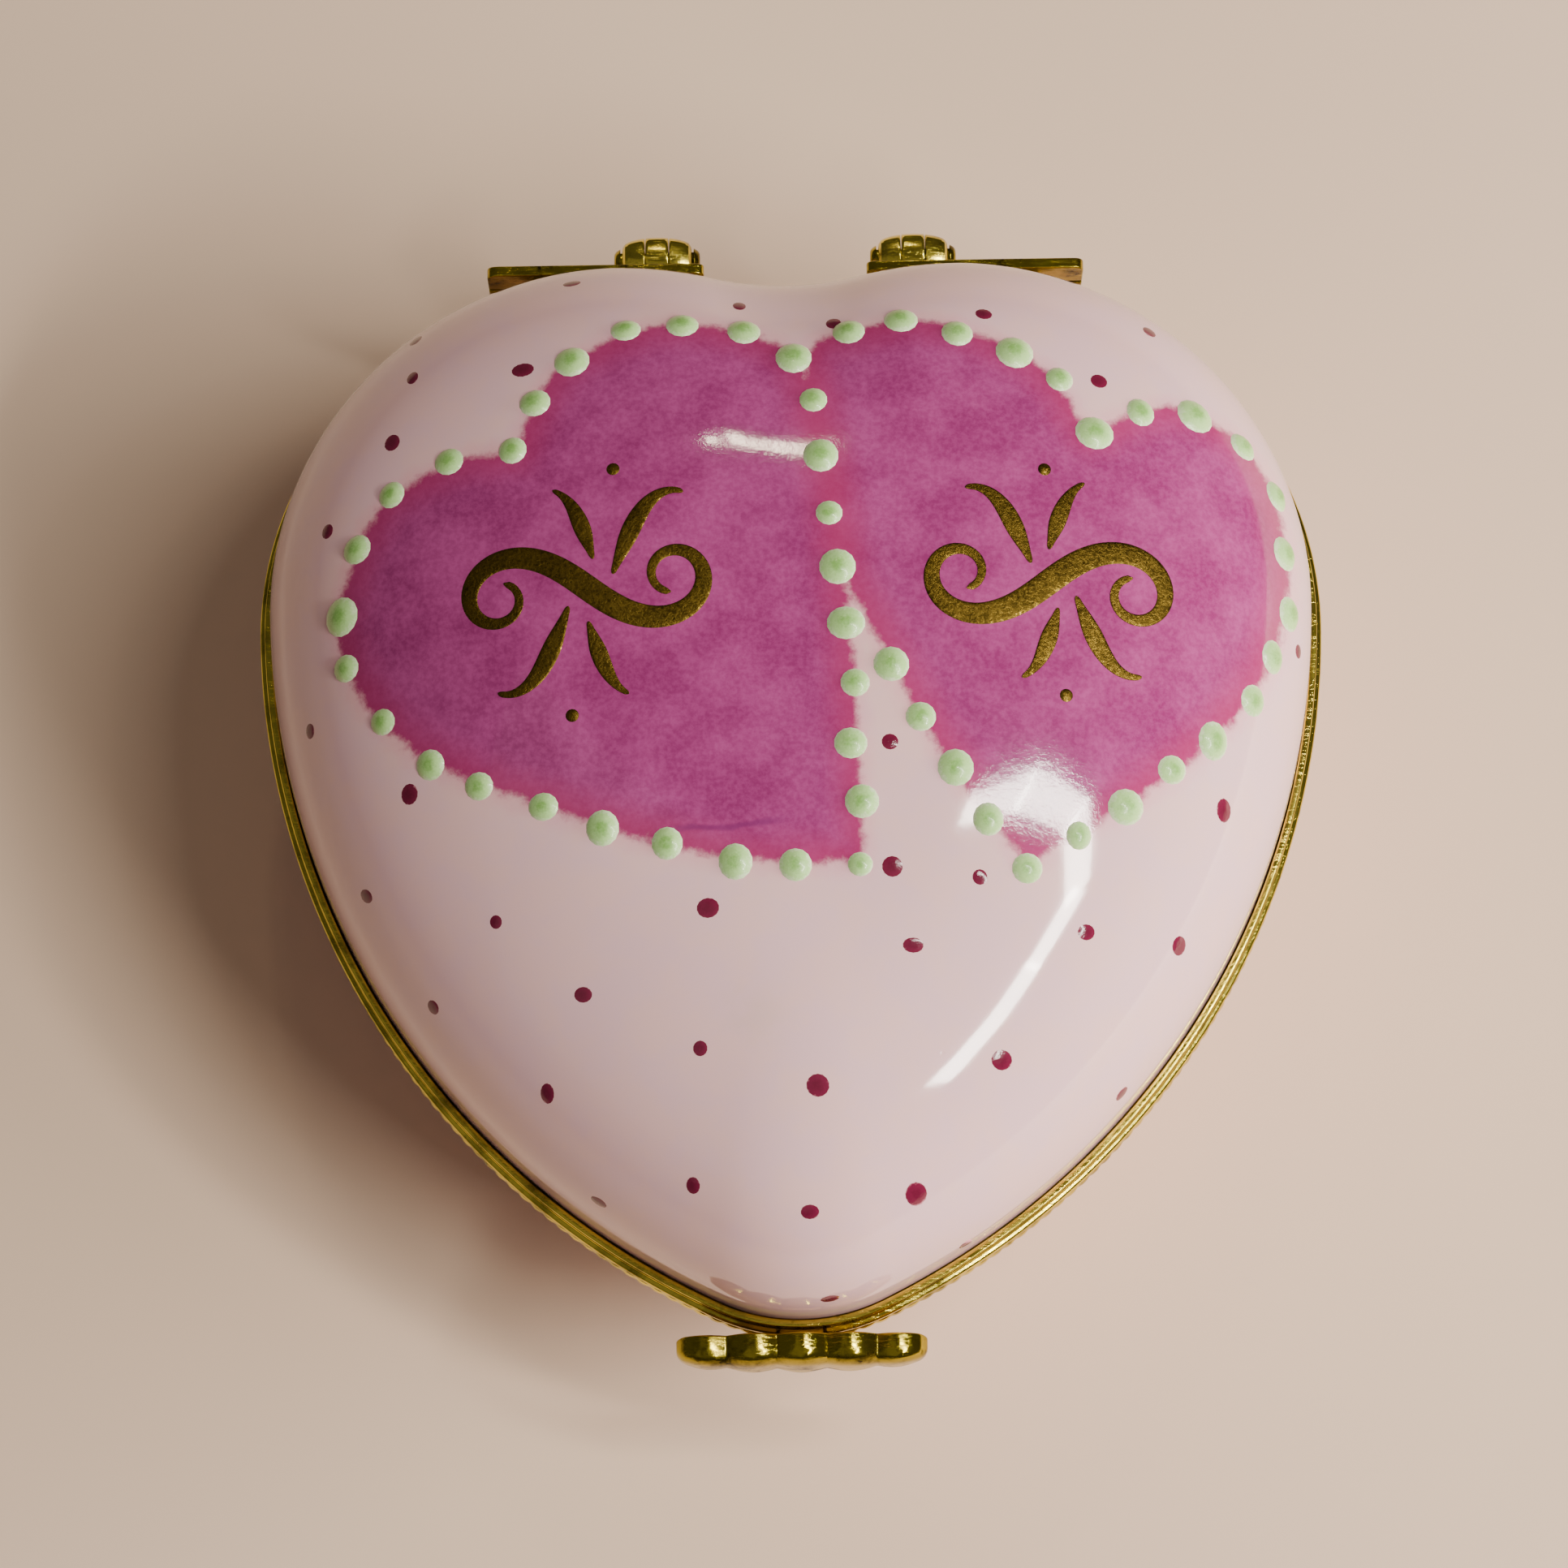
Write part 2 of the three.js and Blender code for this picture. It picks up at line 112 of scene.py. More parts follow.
def grid_faces(rows: int, columns: int, hoop: bool) -> Array:
    """Quads between neighbouring points of a grid that is stored row by row and closed along its rows.

    Args:
        rows: How many rings the grid has.
        columns: How many points each ring has.
        hoop: Whether the last row joins the first.

    Returns:
        An (n, 4) array of point numbers.
    """
    row, column = np.meshgrid(np.arange(rows if hoop else rows - 1), np.arange(columns), indexing="ij")
    next_row, next_column = (row + 1) % rows, (column + 1) % columns
    corners = [(row, column), (row, next_column), (next_row, next_column), (next_row, column)]
    return np.stack([r * columns + c for r, c in corners], axis=-1).reshape(-1, 4)


def loft(rings: Array, closing: Closing, values: dict[str, Array] | None = None) -> Solid:
    """A closed surface through a stack of rings.

    Args:
        rings: Points of shape (rows, columns, 3).
        closing: How the two ends are closed. A pole is the mean of its ring.
        values: Named values of shape (rows, columns).

    Returns:
        The solid, with its faces outwards.
    """
    rows, columns = rings.shape[:2]
    points = rings.reshape(-1, 3)
    flat = {name: value.reshape(-1) for name, value in (values or {}).items()}
    triangles = np.zeros((0, 3), int)
    if closing is Closing.POLES:
        first, last = rows * columns, rows * columns + 1
        here = np.arange(columns)
        after = (here + 1) % columns
        top = (rows - 1) * columns
        low_fan = np.stack([np.full(columns, first), after, here], axis=1)
        high_fan = np.stack([np.full(columns, last), top + here, top + after], axis=1)
        triangles = np.concatenate([low_fan, high_fan])
        points = np.concatenate([points, rings[0].mean(0)[None], rings[-1].mean(0)[None]])
        ends = (0, (rows - 1) * columns)
        flat = {name: np.append(value, [value[i] for i in ends]) for name, value in flat.items()}
    quads = grid_faces(rows, columns, closing is Closing.HOOP)
    return Solid(points, quads, triangles, flat).facing_out()


def joined(solids: list[Solid]) -> Solid:
    """Several solids as one, each keeping its own points.

    Args:
        solids: Solids that carry the same named values.

    Returns:
        One solid.
    """
    shifts = np.cumsum([0] + [len(s.points) for s in solids[:-1]])
    names = solids[0].values.keys()
    return Solid(
        np.concatenate([s.points for s in solids]),
        np.concatenate([s.quads + shift for s, shift in zip(solids, shifts)]),
        np.concatenate([s.triangles + shift for s, shift in zip(solids, shifts)]),
        {name: np.concatenate([s.values[name] for s in solids]) for name in names},
    )


def many_lofts(rings: Array, values: dict[str, Array]) -> Solid:
    """Many like-numbered stacks of rings as one mesh, each stack closed by poles.

    Args:
        rings: Points of shape (solids, rows, columns, 3).
        values: Named values of shape (solids, rows, columns).

    Returns:
        One solid that holds them all.
    """
    count = len(rings)
    return joined([loft(rings[i], Closing.POLES, {k: v[i] for k, v in values.items()}) for i in range(count)])


def rounded(corners: Array, radii: Array, steps: int, closed: bool) -> Array:
    """A run of straight lines with each corner replaced by a quadratic curve.

    The curve starts and ends at the corner's radius along each line, or half way where the line is short.

    Args:
        corners: Corner points of shape (corners, ..., 2); the middle axes are separate copies.
        radii: One radius for each corner, 0 to leave it sharp.
        steps: Points on each curve.
        closed: Whether the last corner joins the first. Otherwise the two ends stay where they are.

    Returns:
        Points of shape (points, ..., 2).
    """
    before, after = np.roll(corners, 1, axis=0), np.roll(corners, -1, axis=0)
    radii = np.asarray(radii, float).reshape((-1,) + (1,) * (corners.ndim - 1))
    to_before, to_after = before - corners, after - corners
    reach_before = np.minimum(radii, 0.5 * np.linalg.norm(to_before, axis=-1, keepdims=True))
    reach_after = np.minimum(radii, 0.5 * np.linalg.norm(to_after, axis=-1, keepdims=True))
    start = corners + unit(to_before) * reach_before
    end = corners + unit(to_after) * reach_after
    t = np.linspace(0.0, 1.0, steps).reshape((steps,) + (1,) * corners.ndim)
    curve = (1 - t) ** 2 * start + 2 * t * (1 - t) * corners + t**2 * end
    curve = np.moveaxis(curve, 0, 1).reshape((-1,) + corners.shape[1:])
    if closed:
        return curve
    return np.concatenate([corners[:1], curve[steps:-steps], corners[-1:]])


def unit(vectors: Array) -> Array:
    """Vectors along the last axis at length 1; a vector of no length stays as it is."""
    length = np.linalg.norm(vectors, axis=-1, keepdims=True)
    return vectors / np.where(length > 1e-12, length, 1.0)


def revolved(profile: Array, segments: int, axis_y: float, axis_z: float, closing: Closing) -> Solid:
    """A profile carried round a line along X, by the cosine and sine of the angle.

    Args:
        profile: (n, 2) pairs of x and radius.
        segments: How many steps the turn is cut into.
        axis_y: The line's Y.
        axis_z: The line's Z.
        closing: How the profile's two ends are closed.

    Returns:
        The solid.
    """
    angle = np.linspace(0.0, TAU, segments, endpoint=False)
    x = np.repeat(profile[:, :1], segments, axis=1)
    y = axis_y + profile[:, 1:] * np.cos(angle)
    z = axis_z + profile[:, 1:] * np.sin(angle)
    return loft(np.stack([x, y, z], axis=-1), closing)


def smooth_path(knots: Array, steps: int) -> Array:
    """A Catmull-Rom curve: a cubic in each span whose slope at a knot is half the step between its neighbours.

    Args:
        knots: (n, 2) points that it passes through.
        steps: Points for each span.

    Returns:
        Points from the first knot to the last.
    """
    padded = np.concatenate([2 * knots[:1] - knots[1:2], knots, 2 * knots[-1:] - knots[-2:-1]])
    p0, p1, p2, p3 = (padded[i : len(padded) - 3 + i, None, :] for i in range(4))
    t = np.linspace(0.0, 1.0, steps, endpoint=False)[None, :, None]
    linear = (p2 - p0) * t
    square = (2 * p0 - 5 * p1 + 4 * p2 - p3) * t**2
    cubic = (3 * p1 - p0 - 3 * p2 + p3) * t**3
    return np.concatenate([(0.5 * (2 * p1 + linear + square + cubic)).reshape(-1, 2), knots[-1:]])


def evenly_along(path: Array, count: int) -> Array:
    """Points at equal distances along a path, by its running length.

    Args:
        path: (n, 2) points.
        count: How many to return, the two ends included.

    Returns:
        (count, 2) points.
    """
    run = np.append(0.0, np.cumsum(np.linalg.norm(np.diff(path, axis=0), axis=1)))
    at = np.linspace(0.0, run[-1], count)
    return np.stack([np.interp(at, run, path[:, i]) for i in range(path.shape[1])], axis=1)


def settle(piece: bpy.types.Object, body: str, node: str = "") -> None:
    """Adds a piece to the scene and says where it belongs.

    Args:
        piece: The piece, at the origin.
        body: The body that it moves with.
        node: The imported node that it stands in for, if any.
    """
    bpy.context.scene.collection.objects.link(piece)
    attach(piece, body)
    if node:
        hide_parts(node)
    log.info("%s: %d faces on %s", piece.name, len(piece.data.polygons), body)


def make_piece(name: str, solid: Solid, material: Material, body: str, node: str = "") -> None:
    """Makes a piece at the origin, smooth apart from its creases.

    Args:
        name: The piece's name.
        solid: Its points in millimetres.
        material: Its finish.
        body: The body that it moves with.
        node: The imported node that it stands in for, if any.
    """
    mesh = bpy.data.meshes.new(name)
    mesh.from_pydata((solid.points * MM).tolist(), [], solid.quads.tolist() + solid.triangles.tolist())
    for value_name, value in solid.values.items():
        attribute = mesh.attributes.new(value_name, "FLOAT", "POINT")
        attribute.data.foreach_set("value", value.astype(np.float32))
    mesh.shade_smooth()
    mesh.set_sharp_from_angle(angle=math.radians(CREASE_DEGREES))
    mesh.materials.append(material)
    settle(bpy.data.objects.new(name, mesh), body, node)


def make_plate(
    name: str, outline: Array, front_y: float, thickness: float, material: Material, body: str, node: str
) -> None:
    """Makes a flat upright plate with eased edges.

    Args:
        name: The piece's name.
        outline: (n, 2) corners as pairs of x and z, in either direction.
        front_y: Where its front face stands.
        thickness: Its thickness, towards +Y.
        material: Its finish.
        body: The body that it moves with.
        node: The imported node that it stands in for.
    """
    count = len(outline)
    points = np.stack([outline[:, 0], np.full(count, front_y), outline[:, 1]], axis=1)
    mesh = bpy.data.meshes.new(name)
    order = np.arange(count)[:: 1 if signed_area(outline) > 0 else -1]
    mesh.from_pydata((points * MM).tolist(), [], [order.tolist()])
    mesh.materials.append(material)
    mesh.shade_smooth()
    piece = bpy.data.objects.new(name, mesh)
    thicken = piece.modifiers.new("sheet thickness", "SOLIDIFY")
    thicken.thickness = thickness * MM
    thicken.offset = -1.0
    ease = piece.modifiers.new("eased edges", "BEVEL")
    ease.width = EASED_EDGE * MM
    ease.segments = 3
    ease.limit_method = "ANGLE"
    ease.harden_normals = True
    settle(piece, body, node)


def signed_area(outline: Array) -> float:
    """Area inside a closed outline of pairs, positive when it runs anticlockwise."""
    x, y = outline[:, 0], outline[:, 1]
    return float(0.5 * np.sum(x * np.roll(y, -1) - y * np.roll(x, -1)))


def signed_distance(points: Array, outline: Array) -> Array:
    """Distance of plan points from a closed outline, positive inside it.

    Each point takes its nearest distance to any side, and its sign by how many sides a line from it
    towards +X crosses.

    Args:
        points: (n, 2) points.
        outline: (m, 2) corners.

    Returns:
        n distances.
    """
    start, end = outline, np.roll(outline, -1, axis=0)
    side = end - start
    length_squared = np.maximum((side**2).sum(1), 1e-12)
    results = []
    for chunk in np.array_split(points, max(1, len(points) // 8000)):
        arm = chunk[:, None, :] - start[None]
        along = np.clip((arm * side).sum(-1) / length_squared, 0.0, 1.0)
        gap = arm - along[..., None] * side
        nearest = np.sqrt((gap**2).sum(-1).min(1))
        x, y = chunk[:, :1], chunk[:, 1:]
        spans = (start[:, 1] > y) != (end[:, 1] > y)
        rise = np.where(side[:, 1] == 0.0, 1e-12, side[:, 1])
        crossing = start[:, 0] + (y - start[:, 1]) * side[:, 0] / rise
        inside = (spans & (crossing > x)).sum(1) % 2 == 1
        results.append(np.where(inside, nearest, -nearest))
    return np.concatenate(results)


# ---------------------------------------------------------------------------------------------------
# The heart's form
# ---------------------------------------------------------------------------------------------------


@dataclass(frozen=True)
class HeartForm:
    """The heart in plan: tangent arcs round its point, side, lobe and cleft, mirrored left and right."""

    half_width: float
    back_y: float
    front_y: float
    lobe_radius: float = 19.0
    tip_radius: float = 10.0
    side_radius: float = 42.0
    cleft_radius: float = 17.0
    middle_drop: float = 6.0  # from the lobes' centres down to the heart's middle
    roundness: float = 0.95  # share of the outline inside which a level starts to grow rounder

    @cached_property
    def lobe(self) -> Array:
        """Centre of the right lobe."""
        return np.array([self.half_width - self.lobe_radius, self.back_y - self.lobe_radius])

    @cached_property
    def middle(self) -> Array:
        """The point that every level shrinks towards."""
        return np.array([0.0, self.lobe[1] - self.middle_drop])

    @cached_property
    def arcs(self) -> dict[str, Array]:
        """Centre, radius, sign, start, sweep and running length of the eight arcs, anticlockwise from the point.

        The side's circle holds the lobe's and the point's circles inside it, so its centre is found from
        two distances. An arc's sign is 1 where the outline is convex and -1 in the cleft.

        Returns:
            An array of eight for each of these, and of nine for the running length.
        """
        tip = np.array([0.0, self.front_y + self.tip_radius])
        span = self.lobe - tip
        apart = float(np.hypot(*span))
        to_tip, to_lobe = self.side_radius - self.tip_radius, self.side_radius - self.lobe_radius
        along = (to_tip**2 - to_lobe**2 + apart**2) / (2 * apart)
        across = math.sqrt(to_tip**2 - along**2)
        forward = span / apart
        side = tip + forward * along + np.array([-forward[1], forward[0]]) * across
        lobe_to_cleft = self.lobe_radius + self.cleft_radius
        cleft = np.array([0.0, self.lobe[1] + math.sqrt(lobe_to_cleft**2 - self.lobe[0] ** 2)])
        turn = [math.atan2(*(target - side)[::-1]) for target in (tip, self.lobe)]
        lobe_end = math.atan2(*(cleft - self.lobe)[::-1])
        quarter = math.pi / 2
        right = [
            (tip, self.tip_radius, 1.0, -quarter, turn[0]),
            (side, self.side_radius, 1.0, turn[0], turn[1]),
            (self.lobe, self.lobe_radius, 1.0, turn[1], lobe_end),
            (cleft, self.cleft_radius, -1.0, lobe_end - math.pi, -quarter),
        ]
        left = [(c * [-1, 1], r, sign, math.pi - b, math.pi - a) for c, r, sign, a, b in reversed(right)]
        centre, radius, sign, start, end = (np.array(part, float) for part in zip(*right, *left))
        sweep = end - start
        run = np.append(0.0, np.cumsum(np.abs(sweep) * radius))
        return {"centre": centre, "radius": radius, "sign": sign, "start": start, "sweep": sweep, "run": run / run[-1]}

    def outline(self, share: Array, offset: Array | float = 0.0) -> Array:
        """Points of the outline moved outwards by offset.

        Args:
            share: Share of the way round, 0 to 1, anticlockwise from the point.
            offset: Distance outwards, one number or an array like share.

        Returns:
            Points with one more axis than share, of length 2.
        """
        a = self.arcs
        share = np.asarray(share, float) % 1.0
        arc = np.clip(np.searchsorted(a["run"], share, side="right") - 1, 0, len(a["radius"]) - 1)
        part = (share - a["run"][arc]) / (a["run"][arc + 1] - a["run"][arc])
        angle = a["start"][arc] + part * a["sweep"][arc]
        radius = a["radius"][arc] + a["sign"][arc] * offset
        return a["centre"][arc] + radius[..., None] * np.stack([np.cos(angle), np.sin(angle)], axis=-1)

    @cached_property
    def polar(self) -> tuple[Array, Array]:
        """The outline as angles about the middle, rising, and the radius at each.

        Returns:
            The angles in radians and the radii.
        """
        arm = self.outline(np.linspace(0.0, 1.0, 4000, endpoint=False)) - self.middle
        angle = np.arctan2(arm[:, 1], arm[:, 0])
        order = np.argsort(angle)
        return angle[order], np.hypot(arm[:, 0], arm[:, 1])[order]

    def level_radius(self, edge_radius: Array, scale: Array, offset: float = 0.0) -> Array:
        """Radius of a shrunken level where the full outline's is edge_radius: rounder as scale falls.

        Args:
            edge_radius: The outline's radius in each direction.
            scale: The level's size against the outline.
            offset: How far the outline is moved outwards.

        Returns:
            Radii, blended by a smooth step from a circle at the middle to the heart at the outline.
        """
        t = np.clip(np.asarray(scale) / self.roundness, 0.0, 1.0)
        share = t * t * (3 - 2 * t)
        round_radius = self.half_width + offset
        return scale * (round_radius + (edge_radius - round_radius) * share)

    def level(self, share: Array, scale: Array, z: Array, offset: float = 0.0) -> Array:
        """Rings of points, one for each scale and height.

        Args:
            share: (columns,) shares of the way round.
            scale: (rows,) sizes against the outline.
            z: (rows,) heights.
            offset: How far the outline is moved outwards before it is shrunk.

        Returns:
            Points of shape (rows, columns, 3).
        """
        arm = self.outline(share, offset) - self.middle
        edge_radius = np.hypot(arm[:, 0], arm[:, 1])
        radius = self.level_radius(edge_radius[None, :], np.asarray(scale)[:, None], offset)
        plan = self.middle + unit(arm)[None] * radius[..., None]
        return np.concatenate([plan, np.broadcast_to(np.asarray(z)[:, None, None], plan.shape[:2] + (1,))], axis=-1)


def even_shares(count: int) -> Array:
    """Shares of the way round, from 0 up to but not at 1."""
    return np.linspace(0.0, 1.0, count, endpoint=False)


def crown_curve(exponent: float, radius: float, rise: float, steps: int) -> tuple[Array, Array]:
    """A quarter of a superellipse in evenly long steps, from its foot to just short of its crown.

    Args:
        exponent: 2 for an ellipse, more for a fuller curve.
        radius: Half its width, used only to space the steps.
        rise: Its height, likewise.
        steps: How many points.

    Returns:
        Shares of the radius, falling from 1, and shares of the height, rising from 0.
    """
    angle = np.linspace(0.0, math.pi / 2, 4000)
    across, up = np.cos(angle) ** (2 / exponent), np.sin(angle) ** (2 / exponent)
    run = np.append(0.0, np.cumsum(np.hypot(np.diff(across * radius), np.diff(up * rise))))
    at = np.linspace(0.0, run[-1], steps, endpoint=False)
    return np.interp(at, run, across), np.interp(at, run, up)


@dataclass(frozen=True)
class Dome:
    """The lid's outer face: a superelliptic pillow over the heart, with the faint unevenness of slip casting."""

    heart: HeartForm
    spring_z: float
    top_z: float
    squareness: float = 2.6
    unevenness: float = 0.035
    halvings: int = 30  # of the bisection in scale_at
    probe: float = 0.02  # how far to either side a slope is measured

    def wave(self, x: Array, y: Array, scale: Array) -> Array:
        """Unevenness in height: a few crossed sines of 10 to 20 mm, fading to nothing at the wall.

        Args:
            x: Plan X.
            y: Plan Y.
            scale: The level that holds each point.

        Returns:
            Heights to add.
        """
        swell = np.sin(0.33 * x + 0.8) * np.cos(0.29 * y - 0.5) + 0.6 * np.sin(0.41 * (x + y) + 2.1)
        swell += 0.4 * np.sin(0.62 * (x - 0.7 * y) - 1.0)
        return self.unevenness * swell * (1.0 - scale**2)

    def scale_at(self, x: Array, y: Array) -> Array:
        """Which level holds a plan point, by bisection on the level's radius in that direction.

        Args:
            x: Plan X.
            y: Plan Y, of the same shape.

        Returns:
            Scales from 0 at the middle to 1 at the outline.
        """
        arm_x, arm_y = x - self.heart.middle[0], y - self.heart.middle[1]
        angle, edges = self.heart.polar
        edge = np.interp(np.arctan2(arm_y, arm_x), angle, edges, period=TAU)
        radius = np.hypot(arm_x, arm_y)
        low, high = np.zeros_like(radius), np.ones_like(radius)
        for _ in range(self.halvings):
            guess = (low + high) / 2
            outside = self.heart.level_radius(edge, guess) > radius
            low, high = np.where(outside, low, guess), np.where(outside, guess, high)
        return (low + high) / 2

    def height(self, x: Array, y: Array) -> Array:
        """Height of the dome over plan points: the superellipse's height at their level, with the wave on it.

        Args:
            x: Plan X.
            y: Plan Y.

        Returns:
            Heights.
        """
        scale = self.scale_at(x, y)
        rise = (1.0 - scale**self.squareness) ** (1 / self.squareness)
        return self.spring_z + (self.top_z - self.spring_z) * rise + self.wave(x, y, scale)

    def frame_at(self, x: Array, y: Array) -> tuple[Array, Array]:
        """Points on the dome over plan points, and the outward normals there by small differences.

        Args:
            x: Plan X.
            y: Plan Y, of the same shape.

        Returns:
            Points and unit normals, each with one more axis, of length 3.
        """
        step = self.probe
        slope_x = (self.height(x + step, y) - self.height(x - step, y)) / (2 * step)
        slope_y = (self.height(x, y + step) - self.height(x, y - step)) / (2 * step)
        normal = unit(np.stack([-slope_x, -slope_y, np.ones_like(slope_x)], axis=-1))
        return np.stack([x, y, self.height(x, y)], axis=-1), normal


# ---------------------------------------------------------------------------------------------------
# Node trees
# ---------------------------------------------------------------------------------------------------

class Graph:
    """Adds nodes to one tree and wires them as it goes."""

    def __init__(self, tree: bpy.types.NodeTree) -> None:
        """Starts from an empty tree."""
        self.tree = tree
        tree.nodes.clear()

    def add(self, kind: str, inputs: dict[str | int, Value] | None = None, **settings: object) -> bpy.types.Node:
        """Adds a node.

        Args:
            kind: Its type, without the leading "ShaderNode".
            inputs: What each named or numbered input takes: a value, or a socket to link.
            **settings: Properties of the node.

        Returns:
            The node.
        """
        node = self.tree.nodes.new("ShaderNode" + kind)
        for name, setting in settings.items():
            setattr(node, name, setting)
        for name, value in (inputs or {}).items():
            self.feed(node.inputs[name], value)
        return node

    def feed(self, socket: Socket, value: Value) -> None:
        """Links a socket to the input, or sets the input's own value.

        Args:
            socket: The input.
            value: A socket, a number, a colour or a vector.
        """
        if isinstance(value, Socket):
            self.tree.links.new(value, socket)
        elif isinstance(value, tuple) and len(value) == 3 and socket.type == "RGBA":
            socket.default_value = (*value, 1.0)
        else:
            socket.default_value = value

    def math(self, operation: str, a: Value, b: Value = 0.0, clamp: bool = False) -> Socket:
        """The result of one arithmetic step."""
        return self.add("Math", {0: a, 1: b}, operation=operation, use_clamp=clamp).outputs[0]

    def plus(self, a: Value, b: Value, clamp: bool = False) -> Socket:
        """a + b."""
        return self.math("ADD", a, b, clamp)

    def minus(self, a: Value, b: Value) -> Socket:
        """a - b."""
        return self.math("SUBTRACT", a, b)

    def times(self, a: Value, b: Value, clamp: bool = False) -> Socket:
        """a times b."""
        return self.math("MULTIPLY", a, b, clamp)

    def mix(self, share: Value, a: Value, b: Value) -> Socket:
        """Colour a where share is 0 and colour b where it is 1.

        Args:
            share: How much of b.
            a: First colour.
            b: Second colour.

        Returns:
            The mixed colour.
        """
        node = self.add("Mix", data_type="RGBA", clamp_factor=True)
        self.feed(node.inputs[0], share)
        self.feed(node.inputs[6], a)
        self.feed(node.inputs[7], b)
        return node.outputs[2]

    def ease(self, value: Value, low: float, high: float, start: float = 0.0, end: float = 1.0) -> Socket:
        """Start where value is below low, end where it is above high, and smooth between."""
        inputs = {"Value": value, "From Min": low, "From Max": high, "To Min": start, "To Max": end}
        return self.add("MapRange", inputs, interpolation_type="SMOOTHSTEP").outputs[0]

    def noise(self, position: Value, size_mm: float, detail: float = 2.0, roughness: float = 0.5) -> Socket:
        """Fractal noise from 0 to 1 whose largest blotches are about size_mm across."""
        inputs = {"Vector": position, "Scale": 1.0 / (size_mm * MM), "Detail": detail, "Roughness": roughness}
        return self.add("TexNoise", inputs).outputs["Fac"]

    def sway(self, position: Value, span: float, size_mm: float, detail: float, roughness: float) -> Socket:
        """Noise centred on 0 with a full swing of span."""
        return self.times(self.minus(self.noise(position, size_mm, detail, roughness), 0.5), span)

    def near(self, position: Value, place: Place, reach_mm: float) -> Socket:
        """1 at a place given in millimetres, falling to 0 at reach_mm from it.

        Args:
            position: Object coordinates.
            place: The place.
            reach_mm: How far it reaches.

        Returns:
            The mask.
        """
        at = tuple(v * MM for v in place)
        gap = self.add("VectorMath", {0: position, 1: at}, operation="DISTANCE").outputs["Value"]
        return self.ease(gap, 0.0, reach_mm * MM, 1.0, 0.0)

    def position(self) -> Socket:
        """Object coordinates."""
        return self.add("TexCoord").outputs["Object"]

    def value(self, name: str) -> Socket:
        """A value that the mesh's points carry."""
        return self.add("Attribute", attribute_name=name, attribute_type="GEOMETRY").outputs["Fac"]

    def bump(self, height: Value, depth_mm: float, strength: float = 1.0) -> Socket:
        """A normal tilted by a height from 0 to 1 that stands for depth_mm."""
        inputs = {"Height": height, "Distance": depth_mm * MM, "Strength": strength}
        return self.add("Bump", inputs).outputs["Normal"]


def group_of(
    name: str, inputs: dict[str, tuple[str, object]], outputs: dict[str, str]
) -> tuple[Graph, bpy.types.NodeOutputs, bpy.types.NodeInputs]:
    """An empty shader node group with its sockets.

    Args:
        name: The group's name.
        inputs: Socket type and default value by name.
        outputs: Socket type by name.

    Returns:
        A graph to fill the group, the sockets that bring its inputs, and those that take its outputs.
    """
    tree = bpy.data.node_groups.new(name, "ShaderNodeTree")
    for socket, (kind, default) in inputs.items():
        made = tree.interface.new_socket(socket, in_out="INPUT", socket_type=kind)
        if default is not None:
            made.default_value = default
    for socket, kind in outputs.items():
        tree.interface.new_socket(socket, in_out="OUTPUT", socket_type=kind)
    graph = Graph(tree)
    return graph, tree.nodes.new("NodeGroupInput").outputs, tree.nodes.new("NodeGroupOutput").inputs


